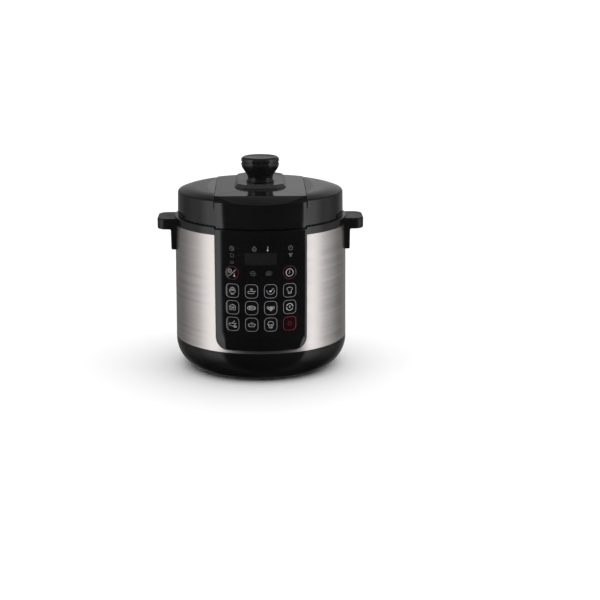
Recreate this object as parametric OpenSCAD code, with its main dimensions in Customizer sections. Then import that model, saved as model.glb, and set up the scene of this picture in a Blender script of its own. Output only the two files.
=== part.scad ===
// Electric pressure cooker: housing, control panel, pressure well, cooking pot and locking lid.
// Millimetres, +Z up, +X right, the control panel faces -Y.
// The origin is on the cooker's vertical axis, in the plane that its feet stand on.

/* [Body] */
// Outer radius of the steel wall at its upper edge
body_r = 132; // [130:1:165]
// How much wider the steel wall is at its lower edge
wall_taper = 1.2; // [0:0.1:3]
// Height of the steel wall
wall_h = 177.5; // [155:0.5:220]
// Thickness of the steel wall
wall_t = 0.8; // [0.5:0.1:1.2]
// How far the base and the collar reach inside the steel wall
spigot_h = 6.5; // [4:0.5:10]
// Wall thickness of the plastic mouldings
shell_t = 2.6; // [2:0.1:3.5]

/* [Base] */
// Height of the base bowl, feet included
base_h = 48; // [44:1:60]
// Height of the straight band under the steel wall
base_band_h = 4; // [2:0.5:8]
// How far the edge of the flat floor is set in from the foot of the steel wall
floor_inset = 23.2; // [17:0.2:30]
// Height of the feet, which is the height of the floor above the ground
foot_h = 3.2; // [2:0.1:6]
// How far the middle of each foot is set in from the edge of the floor
foot_inset = 8; // [7:0.5:20]
// Width of each foot from its inner to its outer edge
foot_w = 12; // [8:1:14]
// Angle that each foot spans
foot_span = 20.7; // [12:0.1:30]
// Angle between a foot's middle and the front or the back
foot_angle = 44; // [35:1:55]
// Radius of the rubber plug in each foot
pad_r = 4.6; // [3:0.1:5]
// Number of cooling slots in the floor
vent_count = 24; // [12:2:36]
// Width of a cooling slot
vent_w = 3; // [2:0.5:3.5]

/* [Collar] */
// Height of the black collar above the steel wall
collar_h = 12; // [10:0.5:18]
// How far the collar stands proud of the steel wall
collar_proud = 0.6; // [0.2:0.1:2]
// Depth of the notch that takes the front and back of the lid's band
collar_notch = 2.7; // [1:0.1:4]

/* [Handles] */
// How far a handle stands out from the steel wall
handle_out = 26.6; // [22:0.2:60]
// Width of a handle, front to back
handle_w = 63; // [40:1:80]
// Thickness of a handle
handle_t = 16.8; // [10:0.2:20]
// How far the top of a handle is below the top of the collar
handle_drop = 2.7; // [0:0.1:6]
// Radius of a handle's outer corners
handle_corner = 15; // [5:1:20]
// Height of the foot that a handle stands on, below its grip
handle_leg_h = 32.5; // [20:0.5:50]
// Thickness of that foot outside the steel wall
handle_leg_t = 4.5; // [4:0.1:8]
// Width of that foot at its lower end
handle_leg_w = 52; // [30:1:60]

/* [Control panel] */
// Half the width of the control panel
panel_half_w = 68.8; // [60:0.2:75]
// How far the panel stands proud of the steel wall's upper edge
panel_proud = 2.8; // [2:0.1:4]
// Height of the steel strip under the panel
panel_gap = 4.5; // [3:0.5:12]
// Radius of the panel's lower corners
panel_corner = 19; // [8:1:25]
// Thickness of the panel where it passes through the steel wall
panel_t = 4.2; // [3.5:0.1:6]
// How far the panel laps over the edge of the opening in the steel wall
panel_lap = 6; // [4:0.5:9]
// Width of the display window
display_w = 46.8; // [36:0.2:56]
// Height of the display window
display_h = 18.9; // [14:0.1:24]
// How far the display's middle is below the top of the collar
display_drop = 44.2; // [38:0.1:52]
// Distance from the back of the panel to the front of the circuit board
board_gap = 18.6; // [17:0.1:19]

/* [Keys] */
// Distance between the middles of neighbouring key columns
key_pitch_x = 28.2; // [25:0.1:29]
// Distance between the middles of neighbouring key rows
key_pitch_z = 25.4; // [24:0.1:28]
// How far the middle of the round keys is below the display's middle
round_key_drop = 21.5; // [20:0.1:26]
// How far the middle of the highest row of square keys is below the round keys
key_row_drop = 27; // [24:0.1:30]
// Width of a square key
key_w = 20; // [15:0.1:22]
// Height of a square key
key_h = 21.9; // [15:0.1:22.5]
// Corner radius of a square key
key_corner = 6.5; // [2:0.1:8]
// Radius of the two large round keys
round_key_r = 10.6; // [8:0.1:11]
// Radius of the two small round keys
small_key_r = 5.2; // [4:0.1:6]
// Half the distance between the two small round keys
small_key_x = 11.7; // [8:0.1:16]
// Travel of a key
key_travel = 0.6; // [0.3:0.1:1]
// Radius of a key's stem
key_stem_r = 2.2; // [1.5:0.1:3]

/* [Inner pot] */
// Outer radius of the pot's wall at its upper edge
pot_r = 99; // [80:0.5:101]
// How much narrower the pot's wall is at its lower edge
pot_taper = 3; // [0:0.5:5]
// Height of the pot's floor above the foot of the steel wall
pot_raise = 16; // [12:1:30]
// Thickness of the pot's wall
pot_t = 1.8; // [1.2:0.1:3]
// Radius of the pot's lower edge
pot_edge_r = 22; // [10:1:30]
// How far the pot's flange reaches out from its wall
pot_flange = 13; // [8:0.5:14]
// How far the top of the pot's flange is below the top of the collar
pot_drop = 1.5; // [0:0.1:3]

/* [Pressure well] */
// Gap between the pot's wall and the well's wall
well_gap = 2.5; // [2:0.1:4]
// Thickness of the well's wall
well_t = 1.8; // [1.2:0.1:2.5]
// Height of the well's rim above the top of the collar
well_rim_h = 14; // [12:0.5:20]
// Thickness of a locking lug
lug_t = 3.2; // [2:0.1:4]
// Length of a locking lug, towards or away from the axis
lug_reach = 5.4; // [4:0.1:7]
// Number of locking lugs
lug_count = 6; // [4:1:8]
// Angle that each locking lug spans
lug_span = 26; // [16:1:28]

/* [Heating] */
// How far the edge of the heating plate is set in from the well's wall
plate_inset = 11.5; // [9:0.5:25]
// Thickness of the heating plate
plate_h = 12; // [10:0.5:14]
// Radius of the middle of the heating element's ring
element_r = 62; // [45:1:66]
// Radius of the heating element's tube
element_tube_r = 3.8; // [3:0.1:4.2]
// Radius of the temperature sensor's cap
sensor_r = 15.5; // [12:0.5:18]
// Travel of the temperature sensor
sensor_travel = 3; // [2:0.5:4]
// Gap between the pressure well's wall and the reflector sleeve around it
shield_gap = 3; // [2:0.5:3.5]

/* [Lid] */
// How far the lid's side is set back from the collar's side
lid_setback = 4.8; // [4:0.1:8]
// Height of the lid's upright side
lid_side_h = 37.5; // [34:0.5:50]
// How much narrower the lid's side is at its top
lid_draft = 0.8; // [0:0.1:2]
// Height of the sloping shoulder above the lid's side
shoulder_h = 6.2; // [4:0.1:10]
// Width of the sloping shoulder
shoulder_w = 18; // [10:0.5:24]
// Thickness of the lid's top plate
lid_top_t = 4.6; // [4.2:0.1:7]
// Gap between the lid's lower edge and the collar
lid_gap = 0.5; // [0.4:0.1:1.5]
// Half the width of the raised band across the lid
band_half_w = 68; // [50:0.5:74]
// How far the band stands proud of the lid's side
band_proud = 2.2; // [1.5:0.1:3]
// Thickness of the band on top of the lid
band_t = 1.8; // [1.5:0.1:2.4]
// Width of the front shoulder of the band
band_slope_w = 28; // [20:1:34]
// Height of the plinth under the knob
plinth_h = 5.2; // [4:0.1:9]
// Width of the plinth's top
plinth_w = 69; // [60:1:76]
// Width of the bevel around the plinth
plinth_bevel = 5.5; // [3:0.5:8]
// Distance from the axis to the front of the plinth's foot
plinth_front = 38; // [34:1:44]
// Distance from the axis to the back of the plinth's foot
plinth_back = 102; // [90:1:104]
// Width of the corner that is cut off the plinth
plinth_corner = 13.5; // [8:0.5:20]

/* [Knob] */
// Largest radius of the knob
knob_r = 29.3; // [24:0.1:36]
// Radius of the knob's neck
knob_neck_r = 19.4; // [15:0.1:22]
// Height of the knob above the plinth
knob_h = 39.2; // [34:0.2:50]
// Radius of the spindle under the knob
spindle_r = 6; // [4:0.1:8]
// Angle that the knob turns through to lock the lid
lock_turn = 30; // [20:1:30]

/* [Seal and inner lid] */
// Thickness of the inner lid
pan_t = 2; // [1.5:0.1:3]
// Height of the sealing ring
seal_h = 6; // [5:0.1:8]
// Width of the sealing ring
seal_w = 9; // [7:0.1:11]
// Height of the raised middle of the inner lid above its rim
pan_rise = 3; // [1:0.5:4]

/* [Valves] */
// Distance from the axis to the steam valve
valve_y = 53; // [46:0.5:58]
// Outer radius of the steam valve
valve_r = 12; // [9:0.5:13]
// Height of the steam valve
valve_h = 17; // [12:0.5:24]
// Radius of the steam pipe under the valve
pipe_r = 4.5; // [3:0.1:5.5]
// Sideways distance from the axis to the float valve
float_x = 26; // [20:0.5:29]
// Front-to-back distance from the edge of the inner lid to the float valve
float_inset = 37; // [32:0.5:46]
// Radius of the float valve's pin
float_r = 3; // [2:0.1:4]
// Travel of the float valve
float_travel = 6; // [3:0.5:6.5]

/* [Mains inlet] */
// Width of the inlet's mouth
inlet_w = 27.5; // [24:0.5:32]
// Height of the inlet's mouth
inlet_h = 20; // [16:0.5:22]
// Depth of the inlet's mouth
inlet_d = 18; // [14:0.5:20]
// How far the inlet's middle is below the top of the base
inlet_drop = 20; // [18:0.5:22]
// How far the flat face that the inlet is mounted on is set in from the foot of the steel wall
inlet_inset = 13.2; // [11:0.2:17]

/* [Fits] */
// Gap between a moving piece and its neighbour
clear = 0.3; // [0.2:0.05:0.5]
// Radial gap of a running fit
run_fit = 0.05; // [0.02:0.01:0.08]
// Gap between a key and its hole
key_gap = 0.3; // [0.2:0.05:0.5]

/* [Hidden] */
$fn = 96;
e = 0.01;
KEY_COLS = 4;
KEY_ROWS = 3;
KEY_NAMES = [
    "key_sauce", "key_bake", "key_cake", "key_power",
    "key_steam", "key_fish", "key_grain", "key_reheat",
    "key_rice", "key_fry", "key_soup", "key_chef"
];

// Heights, from the ground up
wall_z = base_h;
collar_z = wall_z + wall_h;
top_z = collar_z + collar_h;
flange_top = top_z - pot_drop;
flange_t = 2.2;
pot_bottom = wall_z + pot_raise;
plate_top = pot_bottom - clear;
plate_bottom = plate_top - plate_h;
shelf_top = flange_top - flange_t - clear;
rim_z = top_z + well_rim_h;
lid_z = top_z + lid_gap;
side_top = lid_z + lid_side_h;
lid_top = side_top + shoulder_h;
plinth_top = lid_top + plinth_h;
knob_z = plinth_top + clear;
seal_z = flange_top + clear;
pan_z = seal_z + seal_h;
pan_mid = pan_z + pan_rise;

// Radii, from the outside in
wall_foot_r = body_r + wall_taper;
collar_r = body_r + collar_proud;
panel_r = body_r + panel_proud;
panel_in_r = panel_r - panel_t;
lid_r = collar_r - lid_setback;
skirt_t = 2.4;
skirt_in_r = lid_r - skirt_t;
band_r = lid_r + band_proud;
rim_gap = 1;
rim_r = skirt_in_r - lid_draft - rim_gap;
rim_in_r = rim_r - well_t;
lug_in_r = rim_in_r - lug_reach;
ring_r = lug_in_r - 1;
ring_t = 2.6;
flange_r = pot_r + pot_flange;
well_r = pot_r + well_gap + well_t;
plate_r = well_r - well_t - plate_inset;
shield_r = well_r + shield_gap;
sleeve_t = 0.5;
ledge_t = 2.5;
pan_r = flange_r;
seal_r = pan_r - 2;
seal_groove_r = seal_r - seal_w;
float_y = pan_r - float_inset;
floor_r = wall_foot_r - floor_inset;
foot_track_r = floor_r - foot_inset;
floor_arc_z = base_h - base_band_h;
arc_dx = wall_foot_r - floor_r;
arc_dz = floor_arc_z - foot_h;
bowl_arc_r = (arc_dx * arc_dx + arc_dz * arc_dz) / (2 * arc_dx);

// Panel
display_z = top_z - display_drop;
board_front = panel_in_r - board_gap;
panel_z = wall_z + panel_gap;
panel_top = top_z - collar_notch;
opening_half_w = panel_half_w - panel_lap;
opening_z = panel_z + panel_lap;
opening_top = collar_z - spigot_h - 1;
opening_corner = max(panel_corner - panel_lap, 3);
board_t = 1.6;
switch_h = 3.5;
plunger_h = 1.5;
plunger_y = board_front + switch_h + plunger_h;
stem_y = plunger_y + key_travel + 0.2;
round_key_z = display_z - round_key_drop;
key_z = round_key_z - key_row_drop - (KEY_ROWS - 1) * key_pitch_z;
round_key_x = (KEY_COLS - 1) / 2 * key_pitch_x;
board_z = opening_z + 5;
board_top = display_z + display_h / 2 + 14;
board_half_w = 56;
lamp_left_x = -33;
lamp_right_x = 34;
LAMPS = [[lamp_left_x, 0], [lamp_left_x, 1], [lamp_left_x, 2], [lamp_right_x, 0], [lamp_right_x, 1]];
lamp_top_z = display_z + 15.3;
lamp_pitch = 10.4;
lamp_w = 3;
lamp_h = 1.4;

// Lock and lid fastening
lug_pitch = 360 / lug_count;
ring_lug_top = rim_z - lug_t - 0.4;
ring_lug_z = ring_lug_top - lug_t;
arm_z = pan_mid + pan_t + 6;
arm_t = 3;
arm_w = 14;
ARM_ANGLES = [30, 150, 270];
BOSS_ANGLES = [52, 172, 292];
boss_ring_r = 62;
boss_r = 4.5;
screw_r = 1.6;
hub_r = 15;
nut_h = 3.4;
float_down = clear + float_travel;

// Handles
handle_reach = body_r + handle_out;
handle_top = top_z - handle_drop;
handle_z = handle_top - handle_t;
leg_r = body_r + wall_taper + handle_leg_t;
handle_screw_r = 1.6;
handle_screw_y = 14;
handle_screw_l = 5;
handle_screw_x = sqrt((body_r - wall_t) * (body_r - wall_t) - handle_screw_y * handle_screw_y);

// Base interior
inlet_z = base_h - inlet_drop;
inlet_y = wall_foot_r - inlet_inset;
vent_in_r = 34;
vent_l = 28;
board_floor_z = 16;
post_r = 3.5;
POSTS = [[-40, -88], [40, -88], [-40, -34], [40, -34]];
foot_boss_h = 12;
foot_screw_r = 1.9;
foot_head_r = 3.2;
foot_head_z = 1;
foot_head_h = 1.4;
holder_r = sensor_r + 4;
holder_z = plate_bottom - well_t - 15;
spring_wire_r = 0.8;
spring_r = 5.5;
spring_turns = 5;
spring_z = holder_z + 2;
spring_h = 11;
terminal_angle = 60;
pocket_w = 52;
pocket_h = 31;
inlet_screw_x = 19;
inlet_flange_w = 2 * inlet_screw_x + 8;
inlet_flange_t = 2.5;

// ---- Shared outlines ----

module rounded_rect(w, h, r) {
    square([w - 2 * r, h], center = true);
    square([w, h - 2 * r], center = true);
    for (x = [-1, 1], z = [-1, 1])
        translate([x * (w / 2 - r), z * (h / 2 - r)])
            circle(r = r);
}

// Extrudes an outline drawn in X and Z along Y, over the front half of the cooker.
module along_front(depth = 200) {
    rotate([90, 0, 0])
        linear_extrude(depth)
            children();
}

// The closed outline of the base bowl, inset from its outer surface.
module bowl_outline(inset = 0) {
    arc_x = wall_foot_r - bowl_arc_r;
    translate([0, foot_h + inset])
        square([arc_x + 1, base_h - foot_h - inset]);
    intersection() {
        translate([arc_x, floor_arc_z])
            circle(r = bowl_arc_r - inset, $fn = 72);
        translate([arc_x, foot_h + inset])
            square([bowl_arc_r, floor_arc_z - foot_h - inset]);
    }
    translate([0, floor_arc_z])
        square([wall_foot_r - inset, base_band_h]);
}

// The solid that the steel wall and the collar enclose, used to seat what is fixed outside them.
module body_envelope() {
    rotate_extrude()
        polygon([
            [0, wall_z], [wall_foot_r, wall_z], [body_r, collar_z],
            [collar_r, collar_z], [collar_r, top_z], [0, top_z]
        ]);
}

module ring(r_out, r_in, h) {
    difference() {
        cylinder(r = r_out, h = h);
        translate([0, 0, -1])
            cylinder(r = r_in, h = h + 2);
    }
}

// A sector of a ring, centred on the angle a.
module arc_block(r_out, r_in, h, a, span) {
    intersection() {
        ring(r_out, r_in, h);
        rotate(a)
            linear_extrude(h)
                polygon([
                    [0, 0],
                    [2 * r_out * cos(span / 2), -2 * r_out * sin(span / 2)],
                    [2 * r_out * cos(span / 2), 2 * r_out * sin(span / 2)]
                ]);
    }
}

module screw(r, h, head_r, head_h) {
    cylinder(r = r, h = h);
    cylinder(r = head_r, h = head_h);
}

// A wire made of straight eight-sided runs, each of which laps over the next.
module wire(points, r) {
    for (i = [0 : len(points) - 2]) {
        d = points[i + 1] - points[i];
        lap = i < len(points) - 2 ? 0.8 * r : 0;
        translate(points[i])
            rotate([0, acos(d[2] / norm(d)), atan2(d[1], d[0])])
                cylinder(r = r, h = norm(d) + lap, $fn = 8);
    }
}

// ---- Housing ----

module base_bowl() {
    pocket_y = inlet_y - shell_t;
    color([0.03, 0.03, 0.035])
    difference() {
        union() {
            difference() {
                rotate_extrude()
                    bowl_outline();
                rotate_extrude()
                    difference() {
                        bowl_outline(shell_t);
                        translate([0, base_h - e])
                            square([1, 1]);
                    }
                translate([0, 0, base_h - 1])
                    cylinder(r = wall_foot_r - shell_t, h = 2);
            }
            translate([0, 0, base_h - 2])
                ring(wall_foot_r - wall_t - 0.1, wall_foot_r - shell_t - 2, 2 + spigot_h);
            intersection() {
                rotate_extrude()
                    bowl_outline();
                translate([-pocket_w / 2 - shell_t, pocket_y, inlet_z - pocket_h / 2 - shell_t])
                    cube([pocket_w + 2 * shell_t, 40, pocket_h + 2 * shell_t]);
            }
            for (p = POSTS)
                translate([p[0], p[1], foot_h + 1])
                    cylinder(r = post_r, h = board_floor_z - foot_h - 1);
            each_foot()
                translate([foot_track_r, 0, foot_h + 1])
                    cylinder(r = foot_screw_r + 2.4, h = foot_boss_h - 2);
        }
        translate([-pocket_w / 2, inlet_y, inlet_z - pocket_h / 2])
            cube([pocket_w, 40, pocket_h]);
        translate([0, 0, inlet_z])
            rotate([-90, 0, 0])
                linear_extrude(inlet_y + 1)
                    square([inlet_w + 4, inlet_h + 4], center = true);
        for (i = [0 : vent_count - 1])
            rotate(i * 360 / vent_count)
                translate([vent_in_r, -vent_w / 2, foot_h - 1])
                    cube([vent_l, vent_w, shell_t + 2]);
        each_foot()
            translate([foot_track_r, 0, foot_h - 1])
                cylinder(r = foot_screw_r, h = foot_boss_h);
        for (s = [-1, 1])
            translate([s * inlet_screw_x, pocket_y - 1, inlet_z])
                rotate([-90, 0, 0])
                    cylinder(r = screw_r, h = 6);
    }
}

// Places a piece, made on the +X side, at each of the four feet.
module each_foot() {
    for (a = [foot_angle, 180 - foot_angle, 180 + foot_angle, -foot_angle])
        rotate(a - 90)
            children();
}

module feet() {
    pad_turn = foot_span / 2 - 4;
    color([0.04, 0.04, 0.04])
    each_foot()
        difference() {
            translate([0, 0, 0.6])
                arc_block(foot_track_r + foot_w / 2, foot_track_r - foot_w / 2, foot_h - 0.6, 0, foot_span);
            rotate(pad_turn)
                translate([foot_track_r, 0, 0])
                    cylinder(r = pad_r, h = foot_h + 1);
            translate([foot_track_r, 0, 0])
                cylinder(r = foot_screw_r, h = foot_h + 1);
            translate([foot_track_r, 0, 0])
                cylinder(r = foot_head_r, h = foot_head_z + foot_head_h);
        }
}

module foot_pads() {
    pad_turn = foot_span / 2 - 4;
    color([0.12, 0.12, 0.12])
    each_foot()
        rotate(pad_turn)
            translate([foot_track_r, 0, 0])
                cylinder(r = pad_r, h = foot_h);
}

module foot_screws() {
    color("silver")
    each_foot()
        translate([foot_track_r, 0, foot_head_z])
            screw(foot_screw_r, foot_boss_h, foot_head_r, foot_head_h);
}

module outer_wall() {
    color([0.72, 0.69, 0.67])
    difference() {
        rotate_extrude()
            polygon([
                [wall_foot_r - wall_t, wall_z], [wall_foot_r, wall_z],
                [body_r, collar_z], [body_r - wall_t, collar_z]
            ]);
        along_front()
            translate([0, (opening_z + opening_top) / 2])
                rounded_rect(2 * opening_half_w, opening_top - opening_z, opening_corner);
        each_handle_screw()
            cylinder(r = handle_screw_r, h = 10, center = true);
    }
}

// Places a piece, made along +Z, at each screw that holds a handle, at the wall's inner face.
module each_handle_screw() {
    for (side = [0, 180], y = [-handle_screw_y, handle_screw_y])
        rotate(side)
            translate([handle_screw_x, y, handle_z - handle_leg_h / 2])
                rotate([0, 90, 0])
                    children();
}

module collar() {
    ledge_z = shelf_top - well_t;
    spigot_r = body_r - wall_t - 0.1;
    color([0.03, 0.03, 0.035])
    difference() {
        rotate_extrude()
            polygon([
                [collar_r, collar_z], [collar_r, top_z - 1], [collar_r - 1, top_z],
                [rim_r, top_z], [rim_r, ledge_z], [well_r + 4, ledge_z],
                [well_r + 4, ledge_z - ledge_t], [rim_r, ledge_z - ledge_t],
                [spigot_r - 2.6, ledge_z - 6], [spigot_r - 2.6, collar_z - spigot_h],
                [spigot_r, collar_z - spigot_h], [spigot_r, collar_z]
            ]);
        for (side = [-1, 1])
            translate([-panel_half_w, side > 0 ? 0 : -200, panel_top])
                cube([2 * panel_half_w, 200, 50]);
    }
}

module handle() {
    difference() {
        union() {
            translate([0, 0, handle_z])
                linear_extrude(handle_t) {
                    translate([body_r - 15, -handle_w / 2])
                        square([handle_reach - body_r + 15 - handle_corner, handle_w]);
                    translate([body_r - 15, -handle_w / 2 + handle_corner])
                        square([handle_reach - body_r + 15, handle_w - 2 * handle_corner]);
                    for (s = [-1, 1])
                        translate([handle_reach - handle_corner, s * (handle_w / 2 - handle_corner)])
                            circle(r = handle_corner);
                }
            intersection() {
                translate([0, 0, handle_z - handle_leg_h])
                    cylinder(r = leg_r, h = handle_leg_h + 1);
                rotate([90, 0, 90])
                    linear_extrude(handle_reach)
                        polygon([
                            [-handle_leg_w / 2, handle_z - handle_leg_h],
                            [handle_leg_w / 2, handle_z - handle_leg_h],
                            [handle_w / 2, handle_z + 1], [-handle_w / 2, handle_z + 1]
                        ]);
            }
        }
        body_envelope();
        each_handle_screw()
            cylinder(r = handle_screw_r, h = handle_screw_l);
    }
}

module handle_right() {
    color([0.04, 0.04, 0.045])
        handle();
}

module handle_left() {
    color([0.04, 0.04, 0.045])
        mirror([1, 0, 0])
            handle();
}

module handle_screws() {
    color("silver")
    each_handle_screw()
        translate([0, 0, -3])
            screw(handle_screw_r, handle_screw_l + 3, 3.4, 2);
}

// ---- Control panel ----

module panel_outline() {
    h = panel_top - panel_z;
    translate([-panel_half_w, panel_z + panel_corner])
        square([2 * panel_half_w, h - panel_corner]);
    translate([-panel_half_w + panel_corner, panel_z])
        square([2 * (panel_half_w - panel_corner), h]);
    for (s = [-1, 1])
        translate([s * (panel_half_w - panel_corner), panel_z + panel_corner])
            circle(r = panel_corner);
}

function key_pos(i) = [
    (i % KEY_COLS - (KEY_COLS - 1) / 2) * key_pitch_x,
    key_z + floor(i / KEY_COLS) * key_pitch_z
];

SMALL_KEYS = [[-small_key_x, round_key_z], [small_key_x, round_key_z]];
ROUND_KEYS = [[-round_key_x, round_key_z], [round_key_x, round_key_z]];
ALL_KEYS = concat([for (i = [0 : KEY_COLS * KEY_ROWS - 1]) key_pos(i)], ROUND_KEYS, SMALL_KEYS);

module key_outline(grow = 0) {
    rounded_rect(key_w + 2 * grow, key_h + 2 * grow, key_corner + grow);
}

module panel_holes() {
    for (i = [0 : KEY_COLS * KEY_ROWS - 1])
        translate(key_pos(i))
            key_outline(key_gap);
    for (p = ROUND_KEYS)
        translate(p)
            circle(r = round_key_r + key_gap);
    for (p = SMALL_KEYS)
        translate(p)
            circle(r = small_key_r + key_gap);
    translate([0, display_z])
        rounded_rect(display_w, display_h, 1.5);
    for (l = LAMPS)
        translate([l[0], lamp_top_z - l[1] * lamp_pitch])
            square([lamp_w, lamp_h], center = true);
}

module panel_fascia() {
    color([0.02, 0.02, 0.022])
    difference() {
        union() {
            difference() {
                intersection() {
                    translate([0, 0, panel_z - 1])
                        cylinder(r = panel_r, h = wall_h + collar_h);
                    along_front()
                        panel_outline();
                }
                body_envelope();
            }
            intersection() {
                translate([0, 0, panel_z - 1])
                    ring(panel_r, panel_in_r, wall_h + collar_h);
                along_front()
                    translate([0, (opening_z + opening_top) / 2])
                        rounded_rect(
                            2 * (opening_half_w - 0.2),
                            opening_top - opening_z - 0.4,
                            opening_corner - 0.2
                        );
            }
            intersection() {
                cylinder(r = panel_in_r + 1, h = top_z);
                each_board_post()
                    cylinder(r = post_r, h = panel_r);
            }
            each_board_post()
                translate([0, 0, -board_t - 1])
                    cylinder(r = screw_r, h = board_t + 2);
        }
        along_front()
            panel_holes();
    }
}

// Places a piece, made along -Y from the board's front, at each post that carries the board.
module each_board_post() {
    for (x = [-1, 1], z = [board_z + 6, board_top - 6])
        translate([x * (board_half_w - 5), -board_front, z])
            rotate([90, 0, 0])
                children();
}

module display_window() {
    color([0.10, 0.10, 0.12])
    intersection() {
        translate([0, 0, panel_z])
            ring(panel_r, panel_in_r, wall_h + collar_h);
        along_front()
            translate([0, display_z])
                rounded_rect(display_w, display_h, 1.5);
    }
}

module display_module() {
    w = display_w - 4;
    depth = panel_in_r * cos(asin(w / 2 / panel_in_r)) - 1 - board_front;
    color([0.85, 0.85, 0.82])
    translate([-w / 2, -board_front - depth, display_z - display_h / 2 + 1])
        cube([w, depth, display_h - 2]);
}

module light_pipes() {
    color([0.8, 0.3, 0.25])
    intersection() {
        cylinder(r = panel_r, h = top_z);
        for (l = LAMPS)
            translate([l[0] - lamp_w / 2, -panel_r - 1, lamp_top_z - l[1] * lamp_pitch - lamp_h / 2])
                cube([lamp_w, panel_r + 1 - board_front, lamp_h]);
    }
}

module control_board() {
    color([0.05, 0.3, 0.15])
    difference() {
        translate([-board_half_w, -board_front, board_z])
            cube([2 * board_half_w, board_t, board_top - board_z]);
        each_board_post()
            cylinder(r = screw_r, h = 10, center = true);
    }
}

module key_switches() {
    color([0.2, 0.2, 0.2])
    for (p = ALL_KEYS)
        translate([p[0], -board_front, p[1]])
            rotate([90, 0, 0]) {
                translate([-3, -3, 0])
                    cube([6, 6, switch_h]);
                cylinder(r = 1.7, h = switch_h + plunger_h);
            }
}

module key_cap() {
    intersection() {
        translate([0, 0, panel_z])
            ring(panel_r, panel_in_r, wall_h + collar_h);
        along_front()
            children();
    }
}

module key_stem(p) {
    cap_y = sqrt(panel_in_r * panel_in_r - p[0] * p[0]);
    translate([p[0], -stem_y, p[1]])
        rotate([90, 0, 0])
            cylinder(r = key_stem_r, h = cap_y - stem_y + 2);
}

module square_key(i) {
    color(KEY_NAMES[i] == "key_power" ? [0.22, 0.02, 0.02] : [0.03, 0.03, 0.03]) {
        key_cap()
            translate(key_pos(i))
                key_outline();
        key_stem(key_pos(i));
    }
}

module round_key(p, r) {
    color([0.03, 0.03, 0.03]) {
        key_cap()
            translate(p)
                circle(r = r);
        key_stem(p);
    }
}

module key_mode() round_key(ROUND_KEYS[0], round_key_r);
module key_timer() round_key(ROUND_KEYS[1], round_key_r);
module key_minus() round_key(SMALL_KEYS[0], small_key_r);
module key_plus() round_key(SMALL_KEYS[1], small_key_r);

// ---- Pressure well and heating ----

module pressure_well() {
    floor_z = plate_bottom - well_t;
    color([0.55, 0.55, 0.56])
    difference() {
        rotate_extrude()
            polygon([
                [holder_r - 2, floor_z], [well_r, floor_z], [well_r, shelf_top - well_t],
                [rim_r, shelf_top - well_t], [rim_r, rim_z], [lug_in_r, rim_z],
                [lug_in_r, rim_z - lug_t], [rim_in_r, rim_z - lug_t],
                [rim_in_r, shelf_top], [well_r - well_t, shelf_top],
                [well_r - well_t, plate_bottom], [holder_r - 2, plate_bottom]
            ]);
        for (i = [0 : lug_count - 1])
            translate([0, 0, rim_z - lug_t - 1])
                arc_block(rim_in_r, lug_in_r - 2, lug_t + 2, i * lug_pitch, lug_pitch - lug_span);
        for (s = [-1, 1])
            rotate(90 + s * terminal_angle / 2)
                translate([element_r, 0, floor_z - 1])
                    cylinder(r = 5, h = well_t + 2);
    }
}

module reflector_sleeve() {
    lip_z = shelf_top - well_t - ledge_t;
    color([0.75, 0.75, 0.76])
    rotate_extrude()
        polygon([
            [shield_r, plate_bottom + 4], [shield_r + sleeve_t, plate_bottom + 4],
            [shield_r + sleeve_t, lip_z - sleeve_t], [shield_r + 6, lip_z - sleeve_t],
            [shield_r + 6, lip_z], [shield_r, lip_z]
        ]);
}

module heating_plate() {
    groove = element_tube_r + 0.1;
    color([0.6, 0.6, 0.6])
    rotate_extrude()
        difference() {
            translate([sensor_r + 0.5, plate_bottom])
                square([plate_r - sensor_r - 0.5, plate_h]);
            translate([element_r - groove, plate_bottom - 1])
                square([2 * groove, 1 + 2 * groove]);
        }
}

module heating_element() {
    color([0.35, 0.33, 0.3]) {
        translate([0, 0, plate_bottom + element_tube_r])
            rotate_extrude()
                translate([element_r, 0])
                    circle(r = element_tube_r, $fn = 48);
        for (s = [-1, 1])
            rotate(90 + s * terminal_angle / 2)
                translate([element_r, 0, plate_bottom - 10])
                    cylinder(r = 2.4, h = 10 + element_tube_r);
    }
}

module temperature_sensor() {
    color([0.7, 0.7, 0.72]) {
        translate([0, 0, plate_top - 3])
            cylinder(r = sensor_r, h = 3);
        translate([0, 0, spring_z + spring_h])
            cylinder(r = 8, h = plate_top - 3 - spring_z - spring_h + e);
    }
}

module sensor_spring() {
    color("silver")
    translate([0, 0, spring_z + spring_wire_r])
        linear_extrude(
            spring_h - 2 * spring_wire_r, twist = -360 * spring_turns, slices = 24 * spring_turns, $fn = 8
        )
            translate([spring_r, 0])
                circle(r = spring_wire_r);
}

module sensor_holder() {
    floor_z = plate_bottom - well_t;
    color([0.5, 0.5, 0.5])
    rotate_extrude()
        polygon([
            [0, holder_z], [holder_r, holder_z], [holder_r, floor_z - 1.5], [holder_r + 8, floor_z - 1.5],
            [holder_r + 8, floor_z], [holder_r - 1.5, floor_z], [holder_r - 1.5, holder_z + 2],
            [0, holder_z + 2]
        ]);
}

module pressure_switch() {
    color([0.15, 0.15, 0.15])
    translate([34, -12, plate_bottom - well_t - 9])
        cube([22, 12, 9]);
}

module thermal_fuse() {
    color([0.85, 0.85, 0.8])
    translate([-46, 6, plate_bottom - well_t - 3])
        rotate([0, 90, 0])
            cylinder(r = 3, h = 18);
}

module power_board() {
    color([0.1, 0.35, 0.18]) {
        translate([-46, -94, board_floor_z])
            cube([92, 66, board_t]);
        translate([-38, -84, board_floor_z + board_t])
            cube([20, 16, 15]);
        translate([4, -86, board_floor_z + board_t])
            cube([26, 24, 18]);
        for (x = [-12, -26])
            translate([x, -44, board_floor_z + board_t])
                cylinder(r = 5, h = 14);
        translate([12, -50, board_floor_z + board_t])
            cube([24, 3, 16]);
    }
}

// ---- Mains inlet ----

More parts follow.
